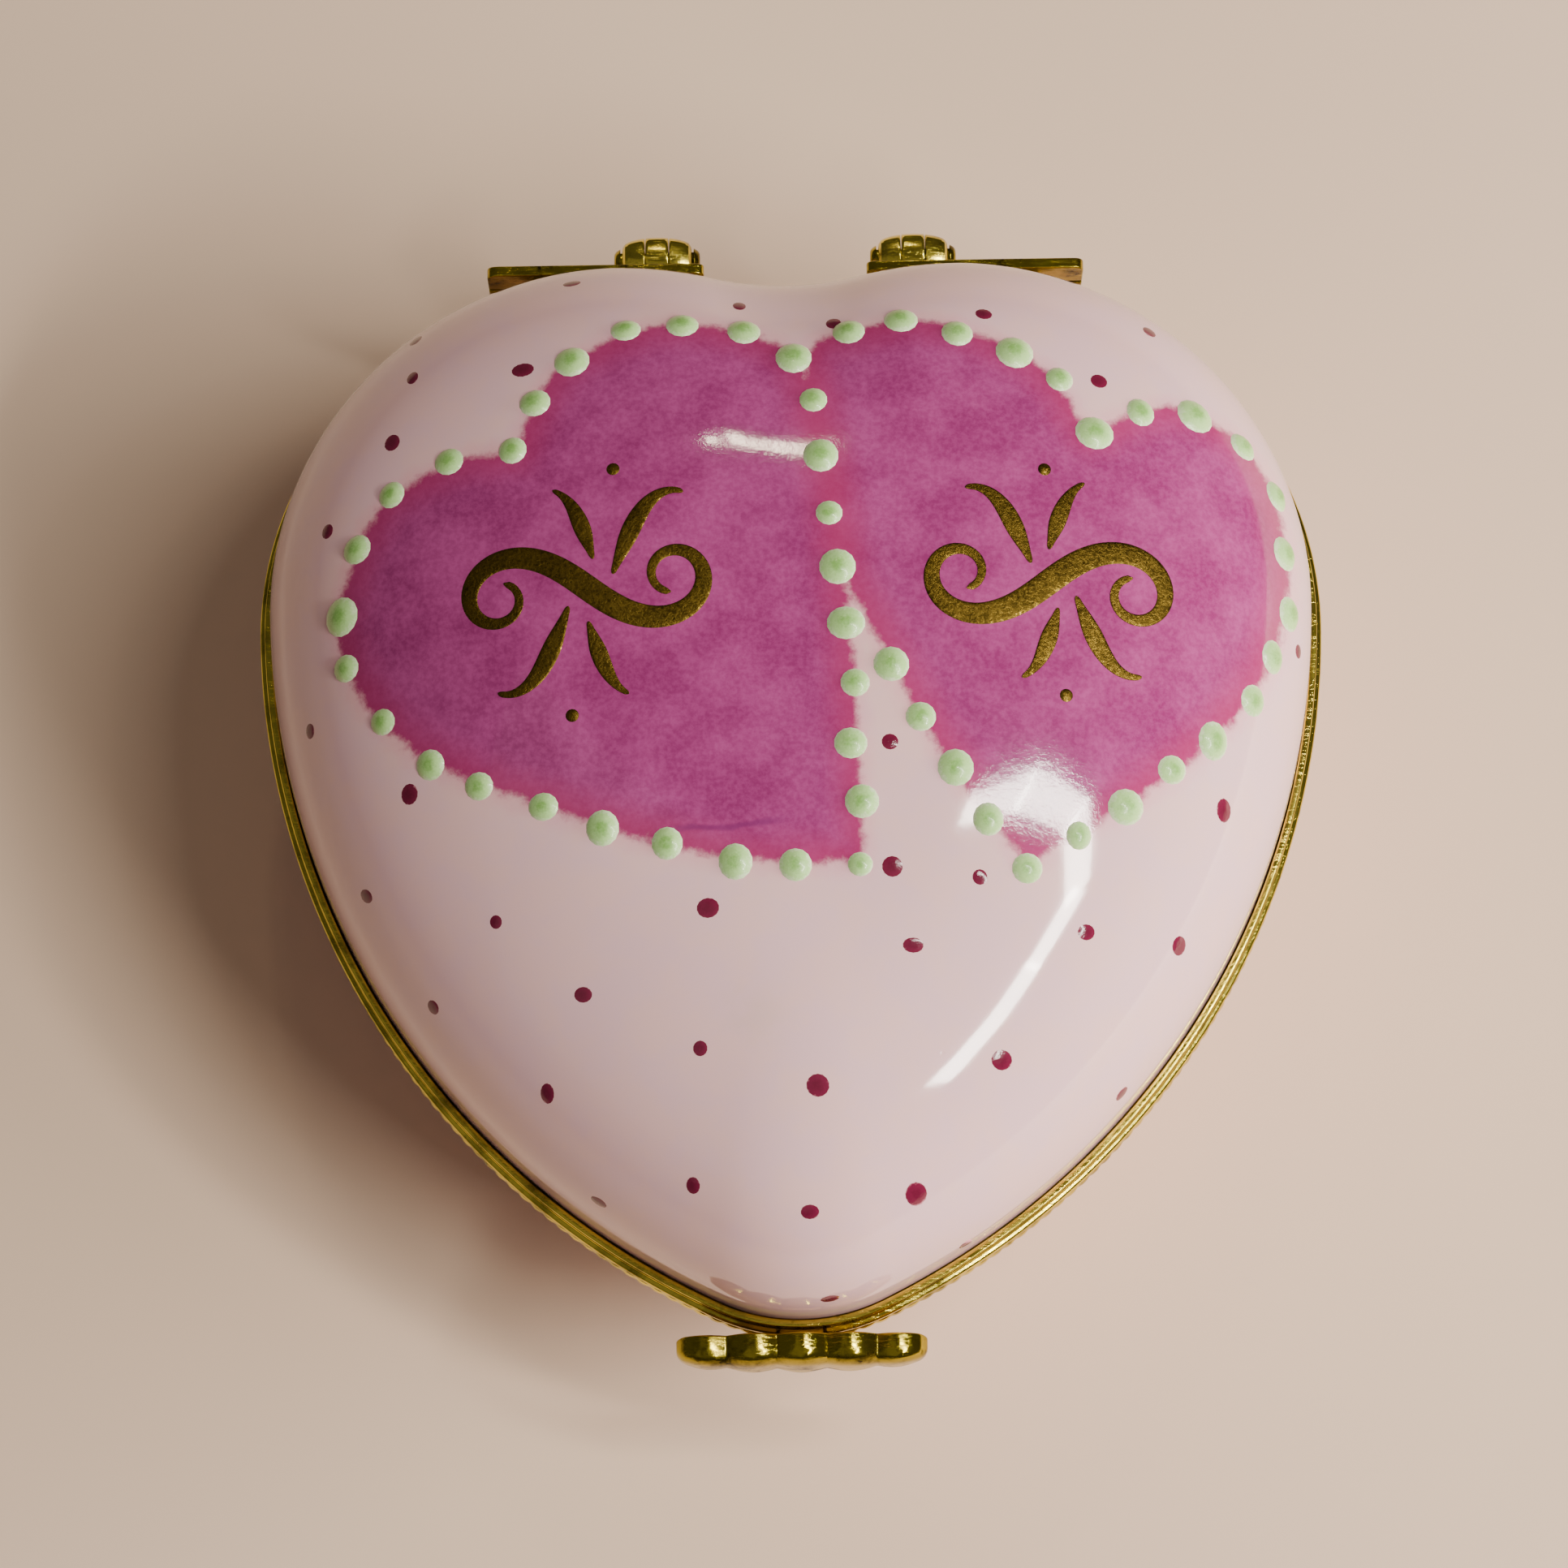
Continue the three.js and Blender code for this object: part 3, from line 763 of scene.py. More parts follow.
class Effects:
    """The surface effects that several finishes share, each a node group built once."""

    def __init__(self) -> None:
        """Builds every group."""
        self.mottle = self._mottle()
        self.glaze = self._glaze()
        self.tarnish = self._tarnish()

    @staticmethod
    def _mottle() -> bpy.types.NodeTree:
        """Colour dabbed on with a sponge: clouds of a few millimetres broken by grains of less than one.

        Returns:
            The group.
        """
        inputs = {
            "Position": (VECTOR, None), "Thin Colour": (COLOUR, (1, 1, 1, 1)), "Full Colour": (COLOUR, (0, 0, 0, 1)),
            "Grain": (FLOAT, 0.5), "Cloud": (FLOAT, 0.5),
        }
        g, given, out = group_of("sponged mottle", inputs, {"Color": COLOUR, "Fullness": FLOAT})
        position = given["Position"]
        grain = g.ease(g.noise(position, 0.3, 3.0, 0.65), 0.3, 0.7)
        cloud = g.ease(g.noise(position, 3.4, 3.0, 0.6), 0.34, 0.66)
        grained = g.times(g.minus(grain, 0.5), given["Grain"])
        clouded = g.times(g.minus(cloud, 0.5), given["Cloud"])
        fullness = g.plus(g.plus(grained, clouded), 0.5, clamp=True)
        g.feed(out["Fullness"], fullness)
        g.feed(out["Color"], g.mix(fullness, given["Thin Colour"], given["Full Colour"]))
        return g.tree

    @staticmethod
    def _glaze() -> bpy.types.NodeTree:
        """The skin of a fired glaze: a slow ripple, fine orange peel, pinholes and a little hazing.

        Returns:
            The group.
        """
        inputs = {"Position": (VECTOR, None), "Relief": (FLOAT, 0.0), "Base Roughness": (FLOAT, 0.08)}
        g, given, out = group_of("fired glaze skin", inputs, {"Height": FLOAT, "Roughness": FLOAT})
        position = given["Position"]
        ripple = g.times(g.noise(position, 5.0, 1.0, 0.4), 0.65)
        peel = g.times(g.noise(position, 1.1, 2.0, 0.5), 0.12)
        peel = g.plus(peel, g.times(g.noise(position, 0.3, 2.0, 0.6), 0.05))
        cells = g.add("TexVoronoi", {"Vector": position, "Scale": 240.0, "Randomness": 1.0})
        pinhole = g.ease(cells.outputs["Distance"], 0.0, 0.045, -0.25, 0.0)
        height = g.plus(g.plus(ripple, peel), g.plus(pinhole, given["Relief"]))
        haze = g.ease(g.noise(position, 9.0, 5.0, 0.6), 0.45, 0.75, 0.0, 0.05)
        g.feed(out["Height"], height)
        g.feed(out["Roughness"], g.plus(given["Base Roughness"], haze))
        return g.tree

    @staticmethod
    def _tarnish() -> bpy.types.NodeTree:
        """Handled brass: bright where it is rubbed, olive-brown in spots and recesses, with fine scratches.

        Returns:
            The group.
        """
        inputs = {
            "Position": (VECTOR, None), "Bright Colour": (COLOUR, (1, 1, 1, 1)), "Dark Colour": (COLOUR, (0, 0, 0, 1)),
            "Amount": (FLOAT, 0.5), "Base Roughness": (FLOAT, 0.2),
        }
        outputs = {"Color": COLOUR, "Roughness": FLOAT, "Height": FLOAT}
        g, given, out = group_of("handled brass", inputs, outputs)
        position = given["Position"]
        cloud = g.noise(position, 2.6, 5.0, 0.65)
        spots = g.ease(g.noise(position, 0.55, 3.0, 0.6), 0.56, 0.72)
        recess = g.add("AmbientOcclusion", {"Distance": 1.1 * MM}, samples=8, only_local=True).outputs["AO"]
        sunk = g.ease(recess, 0.25, 0.85, 1.0, 0.0)
        worn = g.plus(g.ease(cloud, 0.42, 0.74), g.times(spots, 0.45))
        dark = g.times(g.plus(worn, sunk), given["Amount"], clamp=True)
        stretch = g.add("Mapping", {"Vector": position, "Rotation": (0.3, 0.4, 0.7), "Scale": (1.0, 14.0, 5.0)})
        scratch = g.ease(g.noise(stretch.outputs[0], 1.5, 4.0, 0.7), 0.5, 0.8)
        rough = g.plus(g.times(dark, 0.22), g.times(scratch, 0.08))
        g.feed(out["Color"], g.mix(dark, given["Bright Colour"], given["Dark Colour"]))
        g.feed(out["Roughness"], g.plus(rough, given["Base Roughness"]))
        g.feed(out["Height"], g.minus(g.times(cloud, 0.6), g.times(scratch, 0.25)))
        return g.tree


def use_group(graph: Graph, tree: bpy.types.NodeTree, inputs: dict[str, Value]) -> bpy.types.Node:
    """Places a shared effect in a material, with its own values.

    Args:
        graph: The material's graph.
        tree: The effect's node group.
        inputs: What each of its inputs takes.

    Returns:
        The group node.
    """
    node = graph.tree.nodes.new("ShaderNodeGroup")
    node.node_tree = tree
    for name, value in inputs.items():
        graph.feed(node.inputs[name], value)
    return node


def new_material(name: str) -> tuple[Material, Graph]:
    """A material with an empty node tree, and the graph to fill it.

    Args:
        name: The material's name.

    Returns:
        The material and its graph.
    """
    material = bpy.data.materials.new(name)
    material.use_nodes = True
    return material, Graph(material.node_tree)


def finish_surface(graph: Graph, inputs: dict[str, Value]) -> None:
    """Adds the Principled shader with these inputs, and the material's output.

    Args:
        graph: The material's graph.
        inputs: What each named input of the shader takes.
    """
    shader = graph.add("BsdfPrincipled", inputs)
    output = graph.add("OutputMaterial")
    graph.tree.links.new(shader.outputs[0], output.inputs["Surface"])


# ---------------------------------------------------------------------------------------------------
# Finishes
# ---------------------------------------------------------------------------------------------------


@dataclass(frozen=True)
class PaintedGlaze:
    """Clear glaze over a pale lilac-pink ground and, on the lid, two sponged magenta hearts.

    Places are in millimetres.
    """

    ground: Colour = (0.80, 0.51, 0.555)
    ground_warm: Colour = (0.83, 0.525, 0.525)
    heart_thin: Colour = (0.41, 0.066, 0.245)
    heart_full: Colour = (0.25, 0.025, 0.135)
    heart_edge: Colour = (0.38, 0.028, 0.125)
    bleed: Colour = (0.78, 0.30, 0.40)
    stain: Colour = (0.62, 0.47, 0.28)
    speck: Colour = (0.03, 0.02, 0.03)
    bisque: Colour = (0.74, 0.66, 0.57)
    bisque_grain: Colour = (0.60, 0.51, 0.42)
    inner_glaze: Colour = (0.83, 0.76, 0.73)
    brush_colour: Colour = (0.17, 0.018, 0.12)
    brush_centre: Place = (-4.6, 13.0, 30.2)  # of the arc that a loaded brush left
    brush_radius: float = 19.4
    brush_place: Place = (-3.4, -6.3, 30.2)
    stain_place: Place = (-2.1, -15.5, 28.0)
    speck_place: Place = (2.0, -14.8, 28.4)

    def ground_colour(self, g: Graph, effects: Effects, position: Value) -> Socket:
        """The airbrushed ground: two near tints in slow clouds with a faint grain."""
        inputs = {
            "Position": position, "Thin Colour": self.ground_warm, "Full Colour": self.ground,
            "Grain": 0.25, "Cloud": 1.1,
        }
        return use_group(g, effects.mottle, inputs).outputs["Color"]

    def painted_lid(self, effects: Effects) -> Material:
        """The lid: the ground inside and out, with the hearts outside.

        It reads the two distances that the lid's points carry. Noise added to them makes the painted
        edge ragged, and a paler bleed spreads just past it.

        Args:
            effects: The shared effects.

        Returns:
            The finish.
        """
        material, g = new_material("painted glaze")
        position = g.position()
        ground = self.ground_colour(g, effects, position)
        ragged = g.sway(position, 1.1, 0.9, 4.0, 0.7)
        depth = g.plus(g.value(PAINT_DEPTH), ragged)
        edge = g.plus(g.value(PAINT_EDGE), g.times(ragged, 0.8))
        painted = g.ease(depth, -0.28, 0.30)
        bleeding = g.ease(depth, -1.1, 0.1, 0.0, 0.42)
        inputs = {
            "Position": position, "Thin Colour": self.heart_thin, "Full Colour": self.heart_full,
            "Grain": 0.5, "Cloud": 0.55,
        }
        sponge = use_group(g, effects.mottle, inputs)
        rim_tint = g.ease(edge, 0.0, 2.3, 0.7, 0.0)
        heart = g.mix(rim_tint, sponge.outputs["Color"], self.heart_edge)
        heart = g.mix(self.brush_line(g, position), heart, self.brush_colour)
        blotch = g.ease(g.noise(position, 1.9, 3.0, 0.6), 0.38, 0.66)
        stained = g.times(g.near(position, self.stain_place, 3.2), blotch)
        ground = g.mix(g.times(stained, 0.5), ground, self.stain)
        ground = g.mix(g.ease(g.near(position, self.speck_place, 0.42), 0.45, 0.6), ground, self.speck)
        colour = g.mix(painted, g.mix(bleeding, ground, self.bleed), heart)
        relief = g.times(painted, g.plus(0.12, g.times(sponge.outputs["Fullness"], 0.10)))
        skin = use_group(g, effects.glaze, {"Position": position, "Relief": relief, "Base Roughness": 0.07})
        self._glazed(g, colour, skin)
        return material

    def brush_line(self, g: Graph, position: Value) -> Socket:
        """A faint dark line, part of an arc, where one stroke of the brush ended: 1 on it and 0 off it.

        Args:
            g: The material's graph.
            position: Object coordinates.

        Returns:
            The mask.
        """
        centre = tuple(v * MM for v in self.brush_centre)
        reach = g.add("VectorMath", {0: position, 1: centre}, operation="DISTANCE").outputs["Value"]
        wander = g.sway(position, 0.5 * MM, 1.2, 2.0, 0.5)
        off = g.math("ABSOLUTE", g.minus(g.plus(reach, wander), self.brush_radius * MM))
        line = g.ease(off, 0.04 * MM, 0.26 * MM, 0.6, 0.0)
        return g.times(line, g.ease(g.near(position, self.brush_place, 4.2), 0.0, 0.5))

    def plain(self, effects: Effects) -> Material:
        """The bowl: the same ground outside, paler inside, and bare clay under the foot.

        It reads which of the bowl's points lie inside and which are unglazed.

        Args:
            effects: The shared effects.

        Returns:
            The finish.
        """
        material, g = new_material("plain glaze")
        position = g.position()
        ground = self.ground_colour(g, effects, position)
        colour = g.mix(g.value(INSIDE), ground, self.inner_glaze)
        clay = g.value(BARE_CLAY)
        speckled = g.mix(g.noise(position, 0.35, 4.0, 0.7), self.bisque, self.bisque_grain)
        colour = g.mix(clay, colour, speckled)
        skin = use_group(g, effects.glaze, {"Position": position, "Relief": 0.0, "Base Roughness": 0.08})
        roughness = g.plus(skin.outputs["Roughness"], g.times(clay, 0.6))
        self._glazed(g, colour, skin, roughness)
        return material

    @staticmethod
    def _glazed(g: Graph, colour: Value, skin: bpy.types.Node, roughness: Value | None = None) -> None:
        """Ends the material as glass-smooth ceramic."""
        inputs = {
            "Base Color": colour,
            "Roughness": roughness or skin.outputs["Roughness"],
            "IOR": 1.52,
            "Specular IOR Level": 0.5,
            "Coat Weight": 0.35,
            "Coat Roughness": 0.03,
            "Normal": g.bump(skin.outputs["Height"], 0.03, 0.55),
        }
        finish_surface(g, inputs)


@dataclass(frozen=True)
class RaisedEnamel:
    """A blob of opaque enamel, fired glossy: denser in its middle and paler where it thins at the edge."""

    name: str
    middle: Colour
    edge: Colour
    rim: Colour
    roughness: float

    def material(self, effects: Effects) -> Material:
        """The finish. It reads how far out on its dot each point lies.

        Args:
            effects: The shared effects.

        Returns:
            The material.
        """
        material, g = new_material(self.name)
        position = g.position()
        wobble = g.sway(position, 0.55, 0.5, 3.0, 0.6)
        out = g.plus(g.value(DOT_SHARE), wobble)
        out = g.plus(out, g.sway(position, 0.5, 0.12, 2.0, 0.6))
        colour = g.mix(g.ease(out, 0.05, 0.7), self.middle, self.edge)
        colour = g.mix(g.ease(out, 0.72, 1.0), colour, self.rim)
        skin = use_group(g, effects.glaze, {"Position": position, "Relief": 0.0, "Base Roughness": self.roughness})
        inputs = {
            "Base Color": colour,
            "Roughness": skin.outputs["Roughness"],
            "Coat Weight": 0.25,
            "Coat Roughness": 0.08,
            "Normal": g.bump(g.noise(position, 0.3, 3.0, 0.6), 0.03, 0.6),
        }
        finish_surface(g, inputs)
        return material


@dataclass(frozen=True)
class Gilding:
    """Liquid gold brushed thinly on the glaze, with a fine granular sparkle; both its colours are kept far darker than
    gold as painted shade, standing for the dark surroundings it reflects.
    """

    # Painted shade: both colours are darkened to stand for the dark surroundings that the gold reflects.
    bright: Colour = (0.25, 0.165, 0.026)
    dark: Colour = (0.014, 0.009, 0.003)

    def material(self) -> Material:
        """The finish: grains of brighter gold in a darker film, both painted dark as shade.

        Returns:
            The material.
        """
        material, g = new_material("brushed gilding")
        position = g.position()
        grain = g.ease(g.noise(position, 0.22, 4.0, 0.75), 0.35, 0.68)
        cloud = g.ease(g.noise(position, 2.2, 3.0, 0.6), 0.3, 0.7, 0.2, 0.8)
        share = g.plus(g.times(grain, 0.6), g.times(cloud, 0.4))
        inputs = {
            "Base Color": g.mix(share, self.bright, self.dark),
            "Metallic": 1.0,
            "Roughness": g.plus(0.26, g.times(grain, 0.2)),
            "Normal": g.bump(grain, 0.02, 0.7),
        }
        finish_surface(g, inputs)
        return material


@dataclass(frozen=True)
class HandledBrass:
    """Thin gilt brass, bright on its high places and darkened in its corners."""

    name: str = "handled brass"
    bright: Colour = (0.76, 0.63, 0.085)
    dark: Colour = (0.085, 0.068, 0.007)
    amount: float = 0.8
    roughness: float = 0.12

    def material(self, effects: Effects) -> Material:
        """The finish: tarnish over bright metal.

        Args:
            effects: The shared effects.

        Returns:
            The material.
        """
        material, g = new_material(self.name)
        inputs = {
            "Position": g.position(), "Bright Colour": self.bright, "Dark Colour": self.dark,
            "Amount": self.amount, "Base Roughness": self.roughness,
        }
        skin = use_group(g, effects.tarnish, inputs)
        inputs = {
            "Base Color": skin.outputs["Color"],
            "Metallic": 1.0,
            "Roughness": skin.outputs["Roughness"],
            "Normal": g.bump(skin.outputs["Height"], 0.05, 0.5),
        }
        finish_surface(g, inputs)
        return material


PALE_GREEN = RaisedEnamel("pale green enamel", (0.20, 0.43, 0.09), (0.44, 0.72, 0.27), (0.66, 0.82, 0.50), 0.32)
CRIMSON = RaisedEnamel("crimson enamel", (0.115, 0.007, 0.028), (0.15, 0.009, 0.038), (0.66, 0.26, 0.33), 0.12)
# A darker copy of the handled brass, with a little more tarnish, for the clasp, the hinge leaves, the pins, the tongue
# and the nib: painted shade, standing for the dark surroundings that these parts reflect.
BRASS_IN_PAINTED_SHADE = HandledBrass("brass darkened as painted shade", (0.47, 0.38, 0.038), (0.036, 0.027, 0.004), amount=1.1)


@dataclass
class Finishes:
    """Every material that the box wears."""

    effects: Effects = field(default_factory=Effects)

    def __post_init__(self) -> None:
        """Builds the materials."""
        glaze = PaintedGlaze()
        self.painted = glaze.painted_lid(self.effects)
        self.plain = glaze.plain(self.effects)
        self.green = PALE_GREEN.material(self.effects)
        self.crimson = CRIMSON.material(self.effects)
        self.gold = Gilding().material()
        self.brass = HandledBrass().material(self.effects)
        self.brass_in_painted_shade = BRASS_IN_PAINTED_SHADE.material(self.effects)


# ---------------------------------------------------------------------------------------------------
# Painted decoration
# ---------------------------------------------------------------------------------------------------


@dataclass(frozen=True)
class PaintedHeart:
    """A brushed heart on the lid: two runs of curve that meet at its notch and its tip, in plan millimetres."""

    notch: Pair
    first_run: tuple[Pair, ...]
    tip: Pair
    second_run: tuple[Pair, ...]
    gaps: tuple[int, int]  # between dots, on each run

    def runs(self) -> tuple[Array, Array]:
        """Each run as a smooth path, from notch to tip and back.

        Returns:
            The first run and the second.
        """
        first = np.array([self.notch, *self.first_run, self.tip])
        second = np.array([self.tip, *self.second_run, self.notch])
        return smooth_path(first, 16), smooth_path(second, 16)

    def outline(self) -> Array:
        """The whole outline, closed, with no point twice."""
        first, second = self.runs()
        return np.concatenate([first[:-1], second[:-1]])

    def dots(self) -> Array:
        """Where the dots sit: evenly along each run, with one on the notch and one on the tip."""
        first, second = self.runs()
        return np.concatenate([evenly_along(run, gaps + 1)[:-1] for run, gaps in zip((first, second), self.gaps)])


LEFT_HEART = PaintedHeart(
    notch=(-14.5, 14.6),
    first_run=((-12.0, 19.4), (-6.2, 22.0), (0.0, 20.2), (1.7, 14.8), (2.9, 6.0), (3.4, -2.5)),
    tip=(3.6, -8.3),
    second_run=((-4.0, -7.9), (-12.5, -5.1), (-20.0, -1.2), (-23.8, 5.0), (-22.0, 11.6), (-18.0, 14.2)),
    gaps=(15, 14),
)
RIGHT_HEART = PaintedHeart(
    notch=(15.9, 15.4),
    first_run=((20.5, 17.4), (24.9, 15.2), (26.6, 9.0), (24.6, 2.2), (19.3, -3.5)),
    tip=(12.0, -8.3),
    second_run=((8.4, -3.8), (4.6, 3.2), (0.9, 12.0), (1.1, 19.8), (3.4, 21.3), (7.8, 21.9), (13.2, 19.4)),
    gaps=(13, 16),
)

# Small crimson dots on the lid, as (x, y) places.
LID_SPOTS = (
    (-11.5, 25.5), (-2.5, 23.5), (2.5, 22), (10.5, 22.5), (19.5, 22.5), (16.5, 18.5), (-20, 23), (-20, 20),
    (-14, 19.5), (-21, 16), (-24.5, 11.5), (-25.5, 1), (-20, -3.5), (-22.5, -8), (-15.5, -10.5), (-4.5, -10.5),
    (6, -12.5), (9.5, -9), (15, -11.5), (20, -11.5), (22.5, -4.5), (27, 5), (5, -8.5), (5, -2), (-11, -14.5),
    (-19, -14), (-5, -17.5), (1, -19.5), (10.5, -18), (17, -18.5), (-13, -19), (-5.5, -24), (0.5, -25.5),
    (6, -24.5), (8.5, -26), (-10.5, -24), (1.5, -29),
)


@dataclass(frozen=True)
class Stroke:
    """One brushed tendril: a curve whose bend changes along it, wide in its body and fine at its ends."""

    middle: Pair
    heading: float  # at its middle, in degrees anticlockwise from +X
    length: float
    bend_start: float  # degrees turned for each millimetre
    bend_middle: float
    bend_end: float
    width: float
    widest: float = 0.5  # share of the way along

    def path(self, steps: int) -> tuple[Array, Array, Array]:
        """Points, directions and half widths along the stroke.

        The bend runs from bend_start through bend_middle to bend_end on a parabola, so that either end
        can curl like a fern. Directions are its running sum and points are theirs, both moved so that
        the middle comes out as asked.

        Args:
            steps: How many points.

        Returns:
            (steps, 2) points, (steps, 2) unit directions and (steps,) half widths.
        """
        t = np.linspace(0.0, 1.0, steps)
        bend = self.bend_start * 2 * (t - 0.5) * (t - 1.0)
        bend += self.bend_middle * 4 * t * (1.0 - t) + self.bend_end * 2 * t * (t - 0.5)
        step = self.length / (steps - 1)
        turned = np.append(0.0, np.cumsum(bend[:-1] * step))
        angle = np.radians(self.heading + turned - turned[steps // 2])
        forward = np.stack([np.cos(angle), np.sin(angle)], axis=1)
        points = np.concatenate([np.zeros((1, 2)), np.cumsum(forward[:-1] * step, axis=0)])
        points += np.array(self.middle) - points[steps // 2]
        swell = np.where(t < self.widest, t / self.widest, (1 - t) / (1 - self.widest))
        half_width = 0.5 * self.width * (0.3 + 0.7 * np.sin(swell * math.pi / 2) ** 1.5)
        ends = np.clip(np.minimum(t, 1 - t) * self.length / (0.3 * self.width), 0.0, 1.0)
        return points, forward, half_width * np.sqrt(1 - 0.96 * (1 - ends) ** 2)


# A gold scroll with four leaves on each painted heart, the right one mirrored.
SPRAYS = (
    Stroke((-10.4, 6.5), -38.0, 27.0, -58.0, 2.0, 58.0, 1.35),
    Stroke((-8.0, 10.3), 62.0, 6.4, -6.0, -8.0, -58.0, 1.0, 0.42),
    Stroke((-11.0, 10.4), 112.0, 4.6, 6.0, 6.0, 40.0, 0.9, 0.42),
    Stroke((-12.8, 2.7), 242.0, 6.4, -6.0, -8.0, -58.0, 1.0, 0.42),
    Stroke((-9.8, 2.6), 292.0, 4.6, 6.0, 6.0, 40.0, 0.9, 0.42),
    Stroke((13.7, 6.9), 38.0, 27.0, 58.0, -2.0, -58.0, 1.35),
    Stroke((11.4, 10.4), 118.0, 5.8, 6.0, 8.0, 58.0, 1.0, 0.42),
    Stroke((14.2, 10.6), 68.0, 4.4, -6.0, -6.0, -40.0, 0.9, 0.42),
    Stroke((16.0, 3.3), 298.0, 5.8, 6.0, 8.0, 58.0, 1.0, 0.42),
    Stroke((13.2, 3.2), 248.0, 4.4, -6.0, -6.0, -40.0, 0.9, 0.42),
)
GOLD_BEADS = ((-9.2, 13.2, 0.42), (-11.4, -0.2, 0.42), (13.4, 13.0, 0.42), (14.2, 0.6, 0.42))


@dataclass
class Decoration:
    """What is painted and fired on the glaze: dots of enamel and strokes of gold."""

    dome: Dome
    finishes: Finishes
    dot_columns: int = 14
    dot_radii: Pair = (0.72, 1.06)
    dot_rise: float = 0.34  # height against radius
    dot_straying: float = 0.16
    overlap: float = 1.1  # dots nearer than this to the heart on top are covered
    dot_seed: int = 7
    spot_seed: int = 11
    spot_radii: Pair = (0.54, 0.74)
    spot_height: float = 0.035
    bead_height: float = 0.08
    bedding: float = 0.1  # how far a dot's edge sinks under the glaze's face
    stroke_height: float = 0.035
    stroke_steps: int = 120
    stroke_columns: int = 16

    def blobs(self, points: Array, normals: Array, radius: Array, height: Array, stretch: Array) -> Solid:
        """Low domes standing on a surface.

        Each is a disc in its point's tangent plane whose height over it falls as one minus the distance
        out to the power 2.4, and which is stretched along one direction like a dab of the brush.

        Args:
            points: (n, 3) middles.
            normals: (n, 3) outward normals.
            radius: (n,) radii.
            height: (n,) heights.
            stretch: (n, 2) sizes along the two tangents, about 1.

        Returns:
            One solid with DOT_SHARE values: 0 at each middle, 1 at its edge.
        """
        out = np.array([1.0, 1.0, 0.93, 0.78, 0.52, 0.22])
        lift = np.append(-1.0, 1.0 - out[1:] ** 2.4)
        angle = np.linspace(0.0, TAU, self.dot_columns, endpoint=False)
        helper = np.where(np.abs(normals[:, :1]) > 0.9, [[0.0, 1.0, 0.0]], [[1.0, 0.0, 0.0]])
        across = unit(np.cross(normals, helper))
        along = np.cross(normals, across)
        ring_x = out[:, None] * np.cos(angle) * np.ones((len(points), 1, 1))
        ring_y = out[:, None] * np.sin(angle) * np.ones((len(points), 1, 1))
        spread_x = (radius * stretch[:, 0])[:, None, None] * ring_x
        spread_y = (radius * stretch[:, 1])[:, None, None] * ring_y
        rise = np.where(lift[None, :] < 0, -self.bedding, height[:, None] * lift[None, :] - 0.4 * self.bedding * out**2)
        rise = np.broadcast_to(rise[:, :, None], ring_x.shape)
        rings = (
            points[:, None, None, :]
            + spread_x[..., None] * across[:, None, None, :]
            + spread_y[..., None] * along[:, None, None, :]
            + rise[..., None] * normals[:, None, None, :]
        )
        share = np.broadcast_to(out[None, :, None], ring_x.shape)
        return many_lofts(rings, {DOT_SHARE: share})

    def heart_dots(self) -> None:
        """Pale green dots along both hearts' outlines, missing where the left heart covers the right one."""
        rng = np.random.default_rng(self.dot_seed)
        left, right = LEFT_HEART.dots(), RIGHT_HEART.dots()
        covered = signed_distance(right, LEFT_HEART.outline()) > -self.overlap
        places = np.concatenate([left, right[~covered]])
        places = places + rng.normal(0.0, self.dot_straying, places.shape)
        count = len(places)
        radius = rng.uniform(*self.dot_radii, count)
        points, normals = self.dome.frame_at(places[:, 0], places[:, 1])
        stretch = 1.0 + rng.uniform(-0.07, 0.07, (count, 2))
        solid = self.blobs(points, normals, radius, radius * self.dot_rise, stretch)
        make_piece("lid_enamel_dots", solid, self.finishes.green, LID)

    def lid_spots(self) -> None:
        """Small crimson dots over the rest of the lid."""
        rng = np.random.default_rng(self.spot_seed)
        places = np.array(LID_SPOTS)
        points, normals = self.dome.frame_at(places[:, 0], places[:, 1])
        count = len(places)
        radius = rng.uniform(*self.spot_radii, count)
        stretch = 1.0 + rng.uniform(-0.18, 0.18, (count, 2))
        solid = self.blobs(points, normals, radius, np.full(count, self.spot_height), stretch)
        make_piece("lid_crimson_spots", solid, self.finishes.crimson, LID)

    def gold_sprays(self) -> None:
        """Gold tendrils: each a flat oval section carried along its stroke on the dome, with a few beads."""
        angle = np.linspace(0.0, TAU, self.stroke_columns, endpoint=False)
        flat_oval = np.sign(np.sin(angle)) * np.abs(np.sin(angle)) ** 0.45
        solids = []
        for stroke in SPRAYS:
            path, forward, half_width = stroke.path(self.stroke_steps)
            aside = np.stack([-forward[:, 1], forward[:, 0]], axis=1)
            plan = path[:, None, :] + aside[:, None, :] * (half_width[:, None] * np.cos(angle))[..., None]
            surface, normals = self.dome.frame_at(plan[..., 0], plan[..., 1])
            lift = self.stroke_height * flat_oval * np.ones((self.stroke_steps, 1))
            rings = surface + lift[..., None] * normals
            solids.append(loft(rings, Closing.POLES, {DOT_SHARE: np.zeros(rings.shape[:2])}))
        beads = np.array(GOLD_BEADS)
        points, normals = self.dome.frame_at(beads[:, 0], beads[:, 1])
        even = np.ones((len(beads), 2))
        solids.append(self.blobs(points, normals, beads[:, 2], np.full(len(beads), self.bead_height), even))
        make_piece("lid_gold_sprays", joined(solids), self.finishes.gold, LID)


# ---------------------------------------------------------------------------------------------------
# The box
# ---------------------------------------------------------------------------------------------------


def node_box(node: str) -> tuple[Array, Array]:
    """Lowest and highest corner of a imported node, in millimetres."""
    low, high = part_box(node)
    return np.array(low) / MM, np.array(high) / MM


